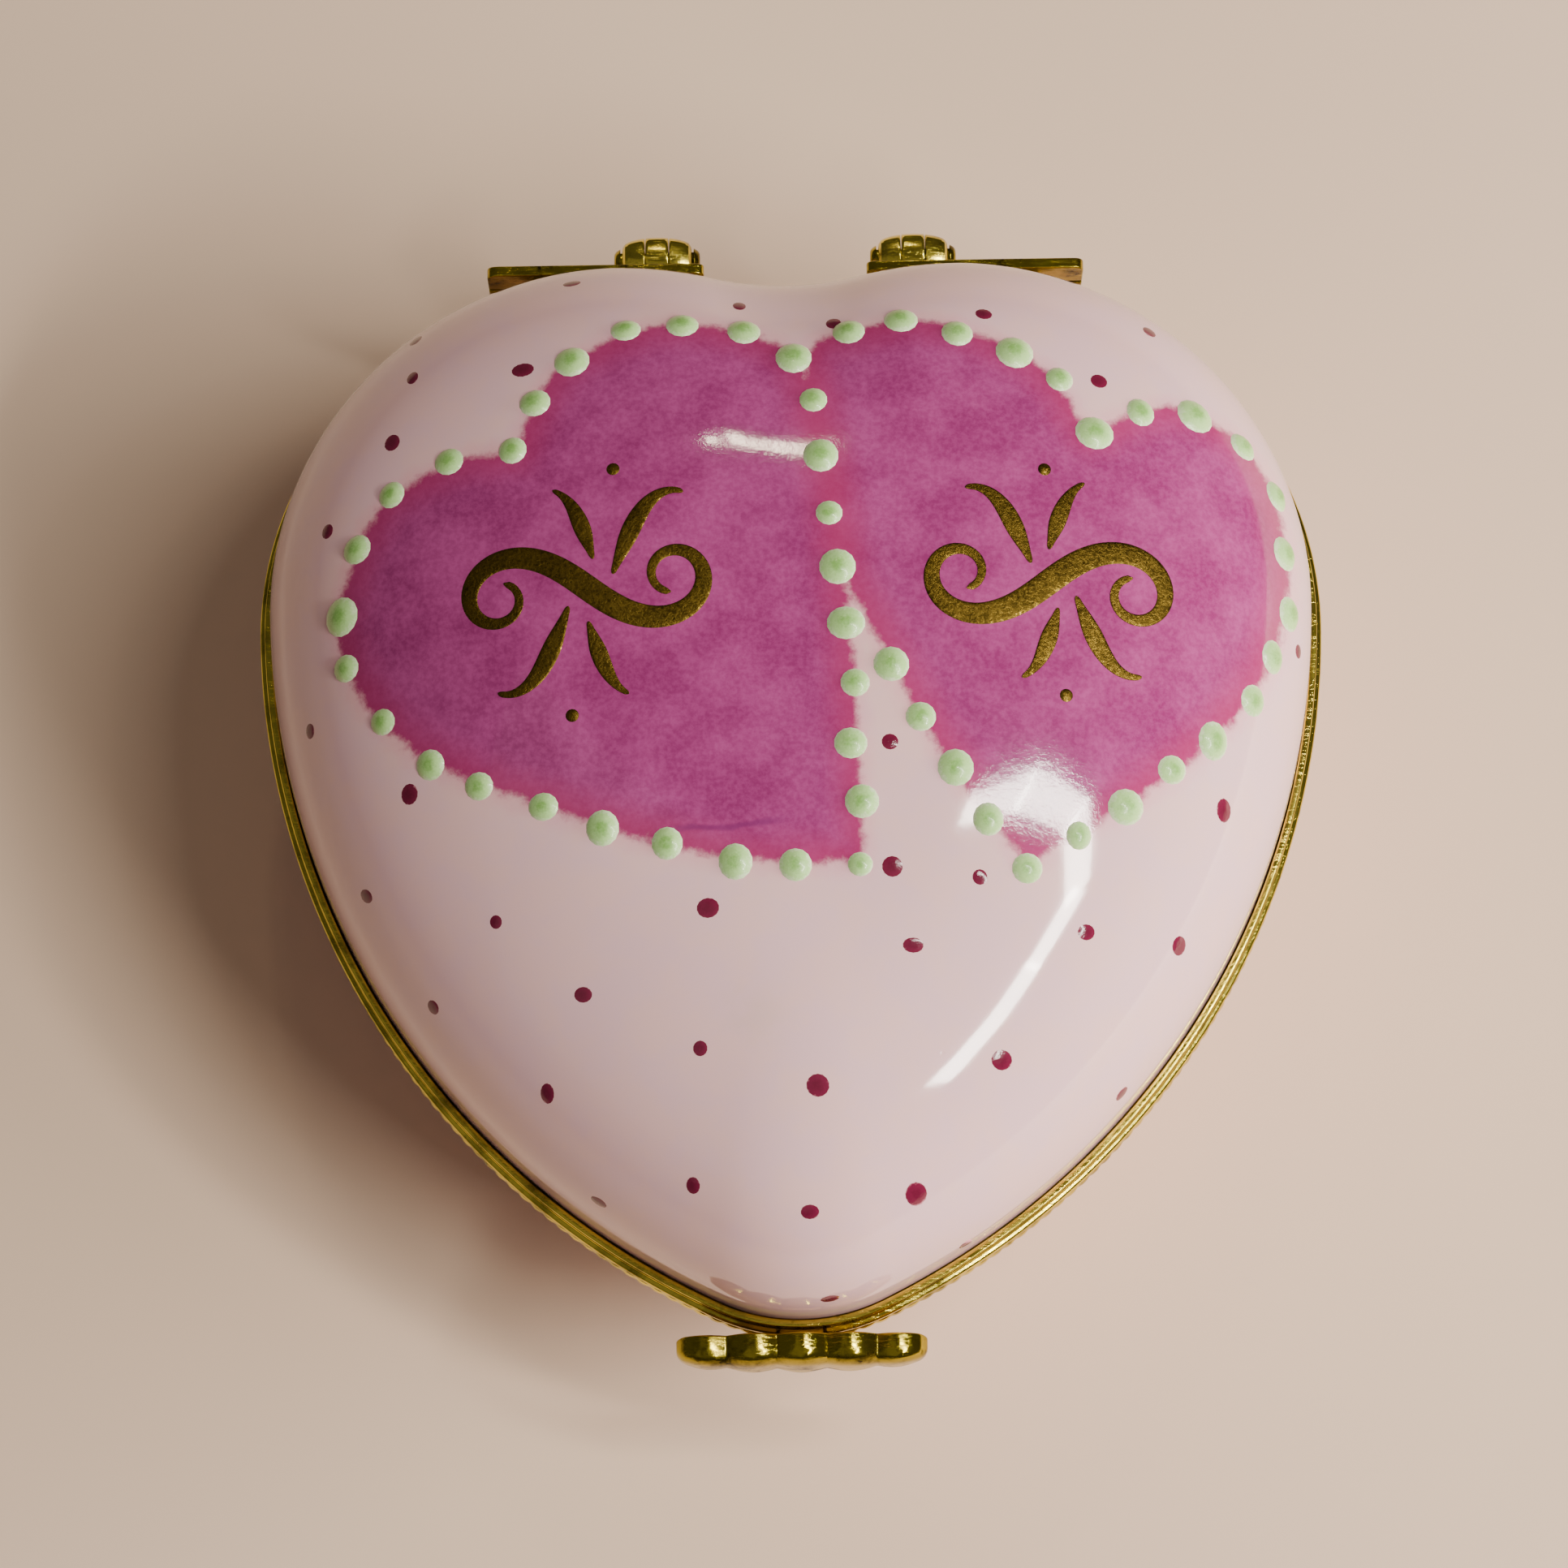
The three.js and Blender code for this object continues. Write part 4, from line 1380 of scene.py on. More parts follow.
@dataclass(frozen=True)
class Levels:
    """The heights and the heart that every piece shares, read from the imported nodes."""

    heart: HeartForm
    parting_z: float
    lid_edge_z: float
    bowl_edge_z: float
    top_z: float
    rim_reach: float  # from the parting plane to a channel's far edge
    rim_gap: float  # from the parting plane to its near edge
    rim_proud: float

    @staticmethod
    def from_frame() -> "Levels":
        """Reads them from the porcelain's and the channels' boxes.

        Returns:
            The levels.
        """
        lid_low, lid_high = node_box("lid_porcelain")
        _, bowl_high = node_box("base_porcelain")
        rim_low, rim_high = node_box("lid_rim")
        _, other_high = node_box("base_rim")
        parting = (rim_low[2] + other_high[2]) / 2
        heart = HeartForm(lid_high[0], lid_high[1], lid_low[1])
        return Levels(
            heart=heart,
            parting_z=parting,
            lid_edge_z=lid_low[2],
            bowl_edge_z=bowl_high[2],
            top_z=lid_high[2],
            rim_reach=rim_high[2] - parting,
            rim_gap=rim_low[2] - parting,
            rim_proud=rim_high[0] - lid_high[0],
        )


LIP_RADIUS = 0.3
LIP_MARGIN = 0.3  # between a lip's ends and the rings that carry on from it


def lip_section(start_offset: float, end_offset: float, foot_z: float, edge_z: float) -> Array:
    """The section of a porcelain edge: up one face, over with rounded corners, and down the other.

    Args:
        start_offset: Offset of the first face from the heart's outline.
        end_offset: Offset of the second face.
        foot_z: Height of both ends.
        edge_z: Height of the edge.

    Returns:
        (n, 2) pairs of offset and height.
    """
    corners = [(start_offset, foot_z), (start_offset, edge_z), (end_offset, edge_z), (end_offset, foot_z)]
    return rounded(np.array(corners), np.array([0.0, LIP_RADIUS, LIP_RADIUS, 0.0]), 6, closed=False)


@dataclass
class LidShell:
    """The porcelain lid: a hollow dome over a short upright wall."""

    levels: Levels
    edge_wall: float = 2.4
    crown_wall: float = 2.8
    upright: float = 2.6  # from the parting plane to where the dome turns in
    columns: int = 420
    outer_rows: int = 110
    inner_rows: int = 34

    @cached_property
    def dome(self) -> Dome:
        """The outer face."""
        return Dome(self.levels.heart, self.levels.parting_z + self.upright, self.levels.top_z)

    def build(self, finishes: Finishes) -> None:
        """Makes the lid as one closed shell, from its inside crown down, round the lip and up its outside.

        Args:
            finishes: The materials.
        """
        levels, heart, dome = self.levels, self.levels.heart, self.dome
        share = even_shares(self.columns)
        radius = heart.half_width
        across, up = crown_curve(dome.squareness, radius, dome.top_z - dome.spring_z, self.outer_rows)
        outer = heart.level(share, across, dome.spring_z + up * (dome.top_z - dome.spring_z))
        outer[..., 2] += dome.wave(outer[..., 0], outer[..., 1], across[:, None])
        inner_top = levels.top_z - self.crown_wall
        in_across, in_up = crown_curve(dome.squareness, radius, inner_top - dome.spring_z, self.inner_rows)
        inner = heart.level(share, in_across, dome.spring_z + in_up * (inner_top - dome.spring_z), -self.edge_wall)
        lip = lip_section(-self.edge_wall, 0.0, dome.spring_z - LIP_MARGIN, levels.lid_edge_z)
        edge = carried_round(heart, share, lip)
        rings = np.concatenate([inner[::-1], edge, outer])
        outside = np.concatenate([np.zeros(len(inner) + len(edge)), np.ones(len(outer))])
        plan = rings[..., :2].reshape(-1, 2)
        depth, near = painted_distances(plan, rings.shape[:2], outside)
        solid = loft(rings, Closing.POLES, {PAINT_DEPTH: depth, PAINT_EDGE: near})
        make_piece("lid_porcelain_shell", solid, finishes.painted, LID, "lid_porcelain")


FAR_FROM_PAINT = -40.0


def painted_distances(plan: Array, shape: tuple[int, int], outside: Array) -> tuple[Array, Array]:
    """How deep each point lies inside the painted hearts, and how near it is to a painted edge.

    Args:
        plan: (rows * columns, 2) plan points.
        shape: Rows and columns.
        outside: (rows,) 1 on rows that carry paint.

    Returns:
        Depth, positive inside either heart, and distance from the nearest edge that shows.
    """
    left = signed_distance(plan, LEFT_HEART.outline()).reshape(shape)
    right = signed_distance(plan, RIGHT_HEART.outline()).reshape(shape)
    depth = np.maximum(left, right)
    near = np.where(left > 0.0, np.abs(left), np.minimum(np.abs(left), np.abs(right)))
    carries = outside[:, None] > 0.5
    return np.where(carries, depth, FAR_FROM_PAINT), np.where(carries, near, -FAR_FROM_PAINT)


def carried_round(heart: HeartForm, share: Array, section: Array) -> Array:
    """A section of (offset, height) pairs carried round the heart, as (section, columns, 3) points.

    Args:
        heart: The heart's plan.
        share: (columns,) shares of the way round.
        section: (n, 2) pairs of offset and height.

    Returns:
        (n, columns, 3) points.
    """
    plan = heart.outline(np.broadcast_to(share, (len(section), len(share))), section[:, :1])
    height = np.broadcast_to(section[:, 1:, None], plan.shape[:2] + (1,))
    return np.concatenate([plan, height], axis=-1)


@dataclass
class BowlShell:
    """The porcelain bowl: upright under its channel, turning in to a bare foot ring round a shallow recess."""

    levels: Levels
    edge_wall: float = 2.4
    upright: float = 2.4
    floor: float = 2.6
    foot_scale: float = 0.74
    foot_ring: float = 0.1
    foot_height: float = 1.2
    foot_taper: float = 0.02
    recess: float = 0.8
    squareness: float = 2.1
    columns: int = 360
    outer_rows: int = 44
    inner_rows: int = 56
    spot_rows: tuple[tuple[float, int, float], ...] = ((0.25, 26, 0.0), (0.72, 22, 0.02))  # share down, count, start
    spot_radii: Pair = (0.42, 0.6)
    spot_seed: int = 23
    bare_height: float = 0.45  # the foot is unglazed up to here

    @property
    def turn_z(self) -> float:
        """Where the wall starts to turn in."""
        return self.levels.bowl_edge_z - self.upright

    def outside(self, share: Array, scale_share: Array, rise: Array) -> Array:
        """Rings of the outer face, for shares across and up its superellipse."""
        scale = self.foot_scale + scale_share * (1.0 - self.foot_scale)
        return self.levels.heart.level(share, scale, self.turn_z - rise * (self.turn_z - self.foot_height))

    def build(self, finishes: Finishes) -> None:
        """Makes the bowl as one closed shell, from the recess out, up, over the lip and down to the floor.

        Args:
            finishes: The materials.
        """
        levels, heart = self.levels, self.levels.heart
        share = even_shares(self.columns)
        reach = heart.half_width
        across, up = crown_curve(self.squareness, reach * (1 - self.foot_scale), self.turn_z, self.outer_rows)
        outer = self.outside(share, across[::-1], up[::-1])
        in_across, in_up = crown_curve(self.squareness, reach, self.turn_z - self.floor, self.inner_rows)
        inner_z = self.turn_z - in_up * (self.turn_z - self.floor)
        inner = heart.level(share, in_across, inner_z, -self.edge_wall)
        inner_edge = self.foot_scale - self.foot_ring
        foot_corners = np.array([
            [0.3, self.recess], [inner_edge - self.foot_taper, self.recess], [inner_edge, 0.0],
            [self.foot_scale - self.foot_taper, 0.0], [self.foot_scale, self.foot_height],
        ]) * [reach, 1.0]
        foot = rounded(foot_corners, np.array([0.0, 0.5, 0.35, 0.35, 0.0]), 7, closed=False)
        under = heart.level(share, foot[:, 0] / reach, foot[:, 1])
        lip = lip_section(0.0, -self.edge_wall, self.turn_z + LIP_MARGIN, levels.bowl_edge_z)
        edge = carried_round(heart, share, lip)
        rings = np.concatenate([under, outer, edge, inner])
        bare = (rings[..., 2] < self.bare_height) & (np.arange(len(rings))[:, None] < len(under))
        inside = np.arange(len(rings))[:, None] >= len(under) + len(outer) + len(edge) // 2
        values = {INSIDE: np.broadcast_to(inside, rings.shape[:2]).astype(float), BARE_CLAY: bare.astype(float)}
        solid = loft(rings, Closing.POLES, values)
        make_piece("base_porcelain_shell", solid, finishes.plain, BASE, "base_porcelain")

    def spots(self, decoration: Decoration) -> None:
        """Two staggered rows of small crimson dots round the bowl, like the lid's.

        Their normals are the cross product of two small differences on the outer face.

        Args:
            decoration: What makes and colours the dots.
        """
        rng = np.random.default_rng(self.spot_seed)
        rows = []
        for height_share, count, start in self.spot_rows:
            share = (start + even_shares(count) + rng.normal(0.0, 0.006, count)) % 1.0
            rise = np.clip(height_share + rng.normal(0.0, 0.05, count), 0.05, 0.9)
            rows.append(np.stack([share, rise], axis=1))
        share, rise = np.concatenate(rows).T
        step = 0.002
        middle = self.spot_points(share, rise)
        along = self.spot_points(share + step, rise) - self.spot_points(share - step, rise)
        upward = self.spot_points(share, rise - step) - self.spot_points(share, rise + step)
        normals = unit(np.cross(along, upward))
        count = len(share)
        radius = rng.uniform(*self.spot_radii, count)
        stretch = 1.0 + rng.uniform(-0.12, 0.12, (count, 2))
        solid = decoration.blobs(middle, normals, radius, np.full(count, decoration.spot_height), stretch)
        make_piece("base_crimson_spots", solid, decoration.finishes.crimson, BASE)

    def spot_points(self, share: Array, rise: Array) -> Array:
        """Points on the outer face at pairs of share round and share down.

        Args:
            share: (n,) shares of the way round.
            rise: (n,) shares of the way down.

        Returns:
            (n, 3) points.
        """
        across = np.clip(1.0 - rise**self.squareness, 0.0, 1.0) ** (1 / self.squareness)
        rings = self.outside(share, across, rise)
        return rings[np.arange(len(share)), np.arange(len(share))]


@dataclass
class BrassChannel:
    """A brass channel over a porcelain edge, with a stepped bead outside. side is 1 on the lid, -1 on the bowl."""

    levels: Levels
    side: int
    wall: float = 2.4
    skin: float = 0.6
    bedding: float = 0.1
    ledge: float = 0.5  # how far the step nearest the porcelain stands out
    step: float = 0.74  # from the near edge to that step
    bead: Pair = (0.3, 0.62)  # from the near edge, where the bead is proudest
    draw_in: float = 0.06  # of the near edge, behind the bead
    columns: int = 1400
    gadroons: int = 210
    gadroon_depth: float = 0.07

    def build(self, name: str, node: str, body: str, material: Material) -> None:
        """Makes the channel: its section carried round the heart. The bowl's bead is cut into gadroons.

        Args:
            name: The piece's name.
            node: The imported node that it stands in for.
            body: The body that it moves with.
            material: Its finish.
        """
        near, far = self.levels.rim_gap, self.levels.rim_reach
        web, proud = near + self.skin, self.levels.rim_proud
        inside = -self.wall - self.bedding
        corners = [
            (self.bedding, far), (self.bedding, web), (inside, web), (inside, far), (inside - self.skin, far),
            (inside - self.skin, near), (proud - self.draw_in, near), (proud, near + self.bead[0]),
            (proud, near + self.bead[1]), (self.ledge, near + self.step), (self.ledge, far),
        ]
        radii = [0.06, 0.1, 0.1, 0.06, 0.15, 0.12, 0.14, 0.16, 0.14, 0.08, 0.12]
        section = rounded(np.array(corners), np.array(radii), 5, closed=True)
        share = even_shares(self.columns)
        offset = np.broadcast_to(section[:, :1], (len(section), self.columns)).copy()
        height = self.levels.parting_z + self.side * np.broadcast_to(section[:, 1:], offset.shape)
        if self.side < 0:
            outer = np.clip((offset - self.ledge + 0.1) / (proud - self.ledge), 0.0, 1.0)
            turn = TAU * self.gadroons * share[None, :] + 1.4 * section[:, 1:]
            offset -= outer * self.gadroon_depth * (0.5 - 0.5 * np.cos(turn)) ** 2
        plan = self.levels.heart.outline(np.broadcast_to(share, offset.shape), offset)
        rings = np.concatenate([plan, height[..., None]], axis=-1)
        make_piece(name, loft(rings, Closing.HOOP), material, body, node)


class Side(Enum):
    """Which lobe a hinge sits behind; the value is the sign of its X."""

    LEFT = -1
    RIGHT = 1


@dataclass
class Hinge:
    """One of the two hinges: a pair of upright leaves, three knuckles and a headed pin."""

    levels: Levels
    side: Side
    leaf_thickness: float = 0.6
    own_gap: float = 1.05  # height of a leaf's edge over the pin line at its own knuckle
    other_gap: float = 1.45  # and at the other leaf's knuckles
    full_x: float = 9.9  # where the leaf first reaches down to the parting plane
    saddle_end_x: float = 14.0
    bore_radius: float = 0.6
    knuckle_radius: float = 1.35
    end_radius: float = 0.8
    pin_radius: float = 0.52
    pin_head: float = 0.74
    head_length: float = 0.35
    corner: float = 0.6
    closing_up: float = 0.035  # taken off each side of the gap between two knuckles
    segments: int = 56

    @property
    def label(self) -> str:
        """The hinge's name, as its nodes have it."""
        return f"{self.side.name.lower()}_hinge"

    def span(self, node: str) -> Pair:
        """A node's reach along X from the cleft outwards.

        Args:
            node: The node, without the hinge's label.

        Returns:
            Its near and far end, as positive numbers.
        """
        low, high = node_box(f"{self.label}_{node}")
        ends = sorted((abs(low[0]), abs(high[0])))
        return float(ends[0]), float(ends[1])

    @cached_property
    def axis_y(self) -> float:
        """The pin line's Y."""
        low, high = node_box(f"{self.label}_pin")
        return float(low[1] + high[1]) / 2

    @cached_property
    def knuckles(self) -> dict[str, Pair]:
        """Each knuckle's reach along X, from the cleft outwards."""
        names = ("base_knuckle_inner", "lid_knuckle", "base_knuckle_outer")
        return {name: self.span(name) for name in names}

    def barrel_radius(self, x: Array) -> Array:
        """The barrel swells like a cask: an ellipse's height over its end radius.

        Args:
            x: Distances from the heart's middle line.

        Returns:
            Radii.
        """
        first, last = self.knuckles["base_knuckle_inner"][0], self.knuckles["base_knuckle_outer"][1]
        reach = np.clip((x - (first + last) / 2) / ((last - first) / 2), -1.0, 1.0)
        return self.end_radius + (self.knuckle_radius - self.end_radius) * np.sqrt(1.0 - reach**2)

    def build(self, finishes: Finishes) -> None:
        """Makes every piece of the hinge.

        Args:
            finishes: The materials.
        """
        # The leaves and the pin take the darker copy of the brass, painted shade for the dark surroundings that they
        # reflect.
        self.leaf("lid_leaf", True, finishes.brass_in_painted_shade)
        self.leaf("base_leaf", False, finishes.brass_in_painted_shade)
        for name in self.knuckles:
            self.knuckle(name, LID if name.startswith("lid") else BASE, finishes.brass)
        self.pin(finishes.brass_in_painted_shade)

    def leaf(self, node: str, on_lid: bool, material: Material) -> None:
        """A leaf, cut round the knuckles, and the saddle that joins it to the channel.

        Args:
            node: The leaf's node, without the hinge's label.
            on_lid: Whether it is soldered to the lid's channel or to the bowl's.
            material: Its finish.
        """
        low, high = node_box(f"{self.label}_{node}")
        inner, outer = self.span(node)
        spans = list(self.knuckles.values())
        heights = [self.own_gap if (i == 1) == on_lid else self.other_gap for i in range(3)]
        edge = [(inner, heights[0])]
        for i in (1, 2):
            x = (spans[i - 1][1] + spans[i][0]) / 2
            edge += [(x, heights[i - 1]), (x, heights[i])]
        near, top = self.levels.rim_gap, max(high[2] - self.levels.parting_z, self.levels.parting_z - low[2])
        edge += [(self.full_x, heights[2]), (self.full_x, near), (outer, near)]
        ends = np.array([(outer, near), (outer, top), (inner, top), (inner, heights[0])])
        round_ends = rounded(ends, np.array([0.0, self.corner, self.corner, 0.0]), 7, closed=False)[1:-1]
        outline = np.concatenate([np.array(edge), round_ends])
        up = 1.0 if on_lid else -1.0
        placed = np.stack([self.side.value * outline[:, 0], self.levels.parting_z + up * outline[:, 1]], axis=1)
        front = high[1] - self.leaf_thickness
        body = LID if on_lid else BASE
        name = f"{self.label}_{node}"
        make_plate(f"{name}_plate", placed, front, self.leaf_thickness, material, body, name)
        self.saddle(f"{name}_saddle", up, front + self.leaf_thickness / 2, material, body)

    def saddle(self, name: str, up: float, back_y: float, material: Material, body: str) -> None:
        """The solder and packing between leaf and channel: a bar whose front follows the lobe.

        Args:
            name: The piece's name.
            up: 1 over the parting plane, -1 under it.
            back_y: Where its flat back stands, inside the leaf.
            material: Its finish.
            body: The body that it moves with.
        """
        heart = self.levels.heart
        steps = 24
        x = np.linspace(self.full_x, self.saddle_end_x, steps)
        reach = heart.lobe_radius + self.levels.rim_proud - 0.02
        front = heart.lobe[1] + np.sqrt(reach**2 - (x - heart.lobe[0]) ** 2)
        low = np.full(steps, self.levels.rim_gap + 0.05)
        high = np.full(steps, self.levels.rim_reach - 0.25)
        back = np.full(steps, back_y)
        pairs = ((front, low), (back, low), (back, high), (front, high))
        corners = np.stack([np.stack(pair, axis=-1) for pair in pairs])
        section = rounded(corners, np.full(4, 0.12), 5, closed=True)
        z = self.levels.parting_z + up * section[..., 1]
        rings = np.stack([np.broadcast_to(self.side.value * x, z.shape), section[..., 0], z], axis=-1)
        make_piece(name, loft(np.swapaxes(rings, 0, 1), Closing.POLES), material, body)

    def knuckle(self, node: str, body: str, material: Material) -> None:
        """A knuckle: a ring of revolution about the pin line, with eased ends.

        Args:
            node: The knuckle's node, without the hinge's label.
            body: The body that it moves with.
            material: Its finish.
        """
        start, end = self.knuckles[node]
        start -= 0.0 if node.endswith("inner") else self.closing_up
        end += 0.0 if node.endswith("outer") else self.closing_up
        x = np.linspace(start, end, 9)
        outside = np.stack([x, self.barrel_radius(x)], axis=1)
        corners = np.concatenate([[[start, self.bore_radius]], outside, [[end, self.bore_radius]]])
        radii = np.concatenate([[0.03, 0.06], np.zeros(7), [0.06, 0.03]])
        profile = rounded(corners, radii, 5, closed=True) * [self.side.value, 1.0]
        solid = revolved(profile, self.segments, self.axis_y, self.levels.parting_z, Closing.HOOP)
        make_piece(f"{self.label}_{node}_ring", solid, material, body, f"{self.label}_{node}")

    def pin(self, material: Material) -> None:
        """The pin, with a domed head at each end.

        Args:
            material: Its finish.
        """
        start, end = self.span("pin")
        length, rim = self.head_length, self.pin_head
        head = [(0.0, 0.02), (0.0, 0.7 * rim), (length, rim), (length, self.pin_radius)]
        corners = np.array([(start + x, r) for x, r in head] + [(end - x, r) for x, r in reversed(head)])
        radii = np.array([0.0, 0.2, 0.06, 0.0, 0.0, 0.06, 0.2, 0.0])
        profile = rounded(corners, radii, 5, closed=False) * [self.side.value, 1.0]
        solid = revolved(profile, self.segments, self.axis_y, self.levels.parting_z, Closing.POLES)
        make_piece(f"{self.label}_pin_turned", solid, material, BASE, f"{self.label}_pin")


@dataclass
class Clasp:
    """The fluted shell at the heart's point, in two halves, with its tongue and nib between them."""

    levels: Levels
    flutes: int = 5
    end_plate: float = 0.95
    bulge: float = 0.75  # how much further the middle stands out than the ends
    fullness: float = 4.0
    flute_depth: float = 0.16
    end_height: float = 1.5
    scallop: float = 0.55
    shoulder: float = 1.15
    end_length: float = 0.5  # of each end that draws in, as a quarter circle does
    end_shrink: float = 0.45
    lower_set_back: float = 0.22  # how much less the bowl's half stands out
    pocket_half: float = 1.4
    pocket_depth: float = 0.75
    pocket_top: float = 1.9  # clear of the foot of the tongue
    columns: int = 260

    def build(self, finishes: Finishes) -> None:
        """Makes both halves, and gives the tongue and the nib their finish.

        Args:
            finishes: The materials.
        """
        # Both halves, the tongue and the nib take the darker copy of the brass, painted shade for the dark surroundings
        # that they reflect.
        self.half("clasp_upper_shell", 1.0, LID, finishes.brass_in_painted_shade)
        self.half("clasp_lower_shell", -1.0, BASE, finishes.brass_in_painted_shade)
        for node in ("clasp_tongue", "clasp_nib"):
            dress(node, finishes.brass_in_painted_shade)

    def half(self, node: str, up: float, body: str, material: Material) -> None:
        """One half: a rounded section swept along X, whose front is fluted and whose far edge is scalloped.

        The front bows out between its ends on a superellipse and is cut by flutes, each an arch of the
        absolute value of a cosine. The far edge is a cosine arch cut in the same rhythm. Behind, a
        pocket for the tongue is let in over the middle.

        Args:
            node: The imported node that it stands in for.
            up: 1 for the lid's half, -1 for the bowl's.
            body: The body that it moves with.
            material: Its finish.
        """
        low, high = node_box(node)
        half = float(high[0])
        near = self.levels.rim_gap
        height = max(high[2] - self.levels.parting_z, self.levels.parting_z - low[2]) - near
        x = half * np.sin(np.linspace(-math.pi / 2, math.pi / 2, self.columns))
        pocket_sides = np.array([self.pocket_half, self.pocket_half + 0.02])
        x = np.unique(np.concatenate([x, -pocket_sides, pocket_sides]))
        flute = np.abs(np.cos(math.pi * x * self.flutes / (2 * half)))
        bow = np.sqrt(np.clip(1.0 - np.abs(x / half) ** self.fullness, 0.0, 1.0))
        front = self.end_plate + self.bulge * bow - self.flute_depth * (1.0 - flute) * bow
        front -= self.lower_set_back if up < 0 else 0.0
        arch = self.end_height + (height - self.end_height) * np.cos(math.pi * x / (2 * half))
        top = near + arch - self.scallop * (1 - flute)
        pocket = np.where(np.abs(x) <= self.pocket_half, self.pocket_depth, 0.0)
        shelf = np.minimum(self.pocket_top, top - 0.3)
        flat, zero = np.full_like(x, near), np.zeros_like(x)
        pairs = ((pocket, flat), (front, flat), (front, top), (zero, top), (zero, shelf), (pocket, shelf))
        corners = np.stack([np.stack(pair, axis=-1) for pair in pairs])
        section = rounded(corners, np.array([0.04, 0.16, self.shoulder, 0.12, 0.03, 0.03]), 8, closed=True)
        centre = np.stack([front / 2, (near + top) / 2], axis=-1)
        ends = np.clip((np.abs(x) - (half - self.end_length)) / self.end_length, 0.0, 1.0)
        shrink = 1.0 - self.end_shrink * (1.0 - np.sqrt(np.clip(1.0 - ends**2, 0.0, 1.0)))
        section = centre + (section - centre) * shrink[:, None]
        y = high[1] - section[..., 0]
        z = self.levels.parting_z + up * section[..., 1]
        rings = np.stack([np.broadcast_to(x, y.shape), y, z], axis=-1)
        make_piece(f"{node}_fluted", loft(np.swapaxes(rings, 0, 1), Closing.POLES), material, body, node)


def dress(node: str, material: Material) -> None:
    """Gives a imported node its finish.

    Args:
        node: The node's name.
        material: The finish.
    """
    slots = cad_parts[node].data.materials
    slots.clear()
    slots.append(material)


# ---------------------------------------------------------------------------------------------------
# Studio
# ---------------------------------------------------------------------------------------------------


@dataclass(frozen=True)
class Lamp:
    """A rectangular soft light, placed by direction from the box and aimed at it."""

    name: str
    azimuth: float  # degrees from -Y towards +X
    elevation: float
    distance: float
    size: Pair
    turn: float  # degrees about its own axis
    power: float
    colour: Colour
    mirrored: bool = True  # whether glossy surfaces show it

    def place(self, aim: Vector) -> None:
        """Adds the light.

        Args:
            aim: Where it points.
        """
        data = bpy.data.lights.new(self.name, "AREA")
        data.shape = "RECTANGLE"
        data.size, data.size_y = self.size
        data.energy = self.power
        data.color = self.colour
        lamp = bpy.data.objects.new(self.name, data)
        away = direction(self.azimuth, self.elevation)
        lamp.location = aim + away * self.distance
        lamp.rotation_mode = "QUATERNION"
        spin = Quaternion((0.0, 0.0, 1.0), math.radians(self.turn))
        lamp.rotation_quaternion = (-away).to_track_quat("-Z", "Y") @ spin
        lamp.visible_glossy = self.mirrored
        bpy.context.scene.collection.objects.link(lamp)


def direction(azimuth: float, elevation: float) -> Vector:
    """Unit vector at an azimuth from -Y towards +X and an elevation over the horizon, in degrees."""
    a, e = math.radians(azimuth), math.radians(elevation)
    return Vector((math.sin(a) * math.cos(e), -math.cos(a) * math.cos(e), math.sin(e)))


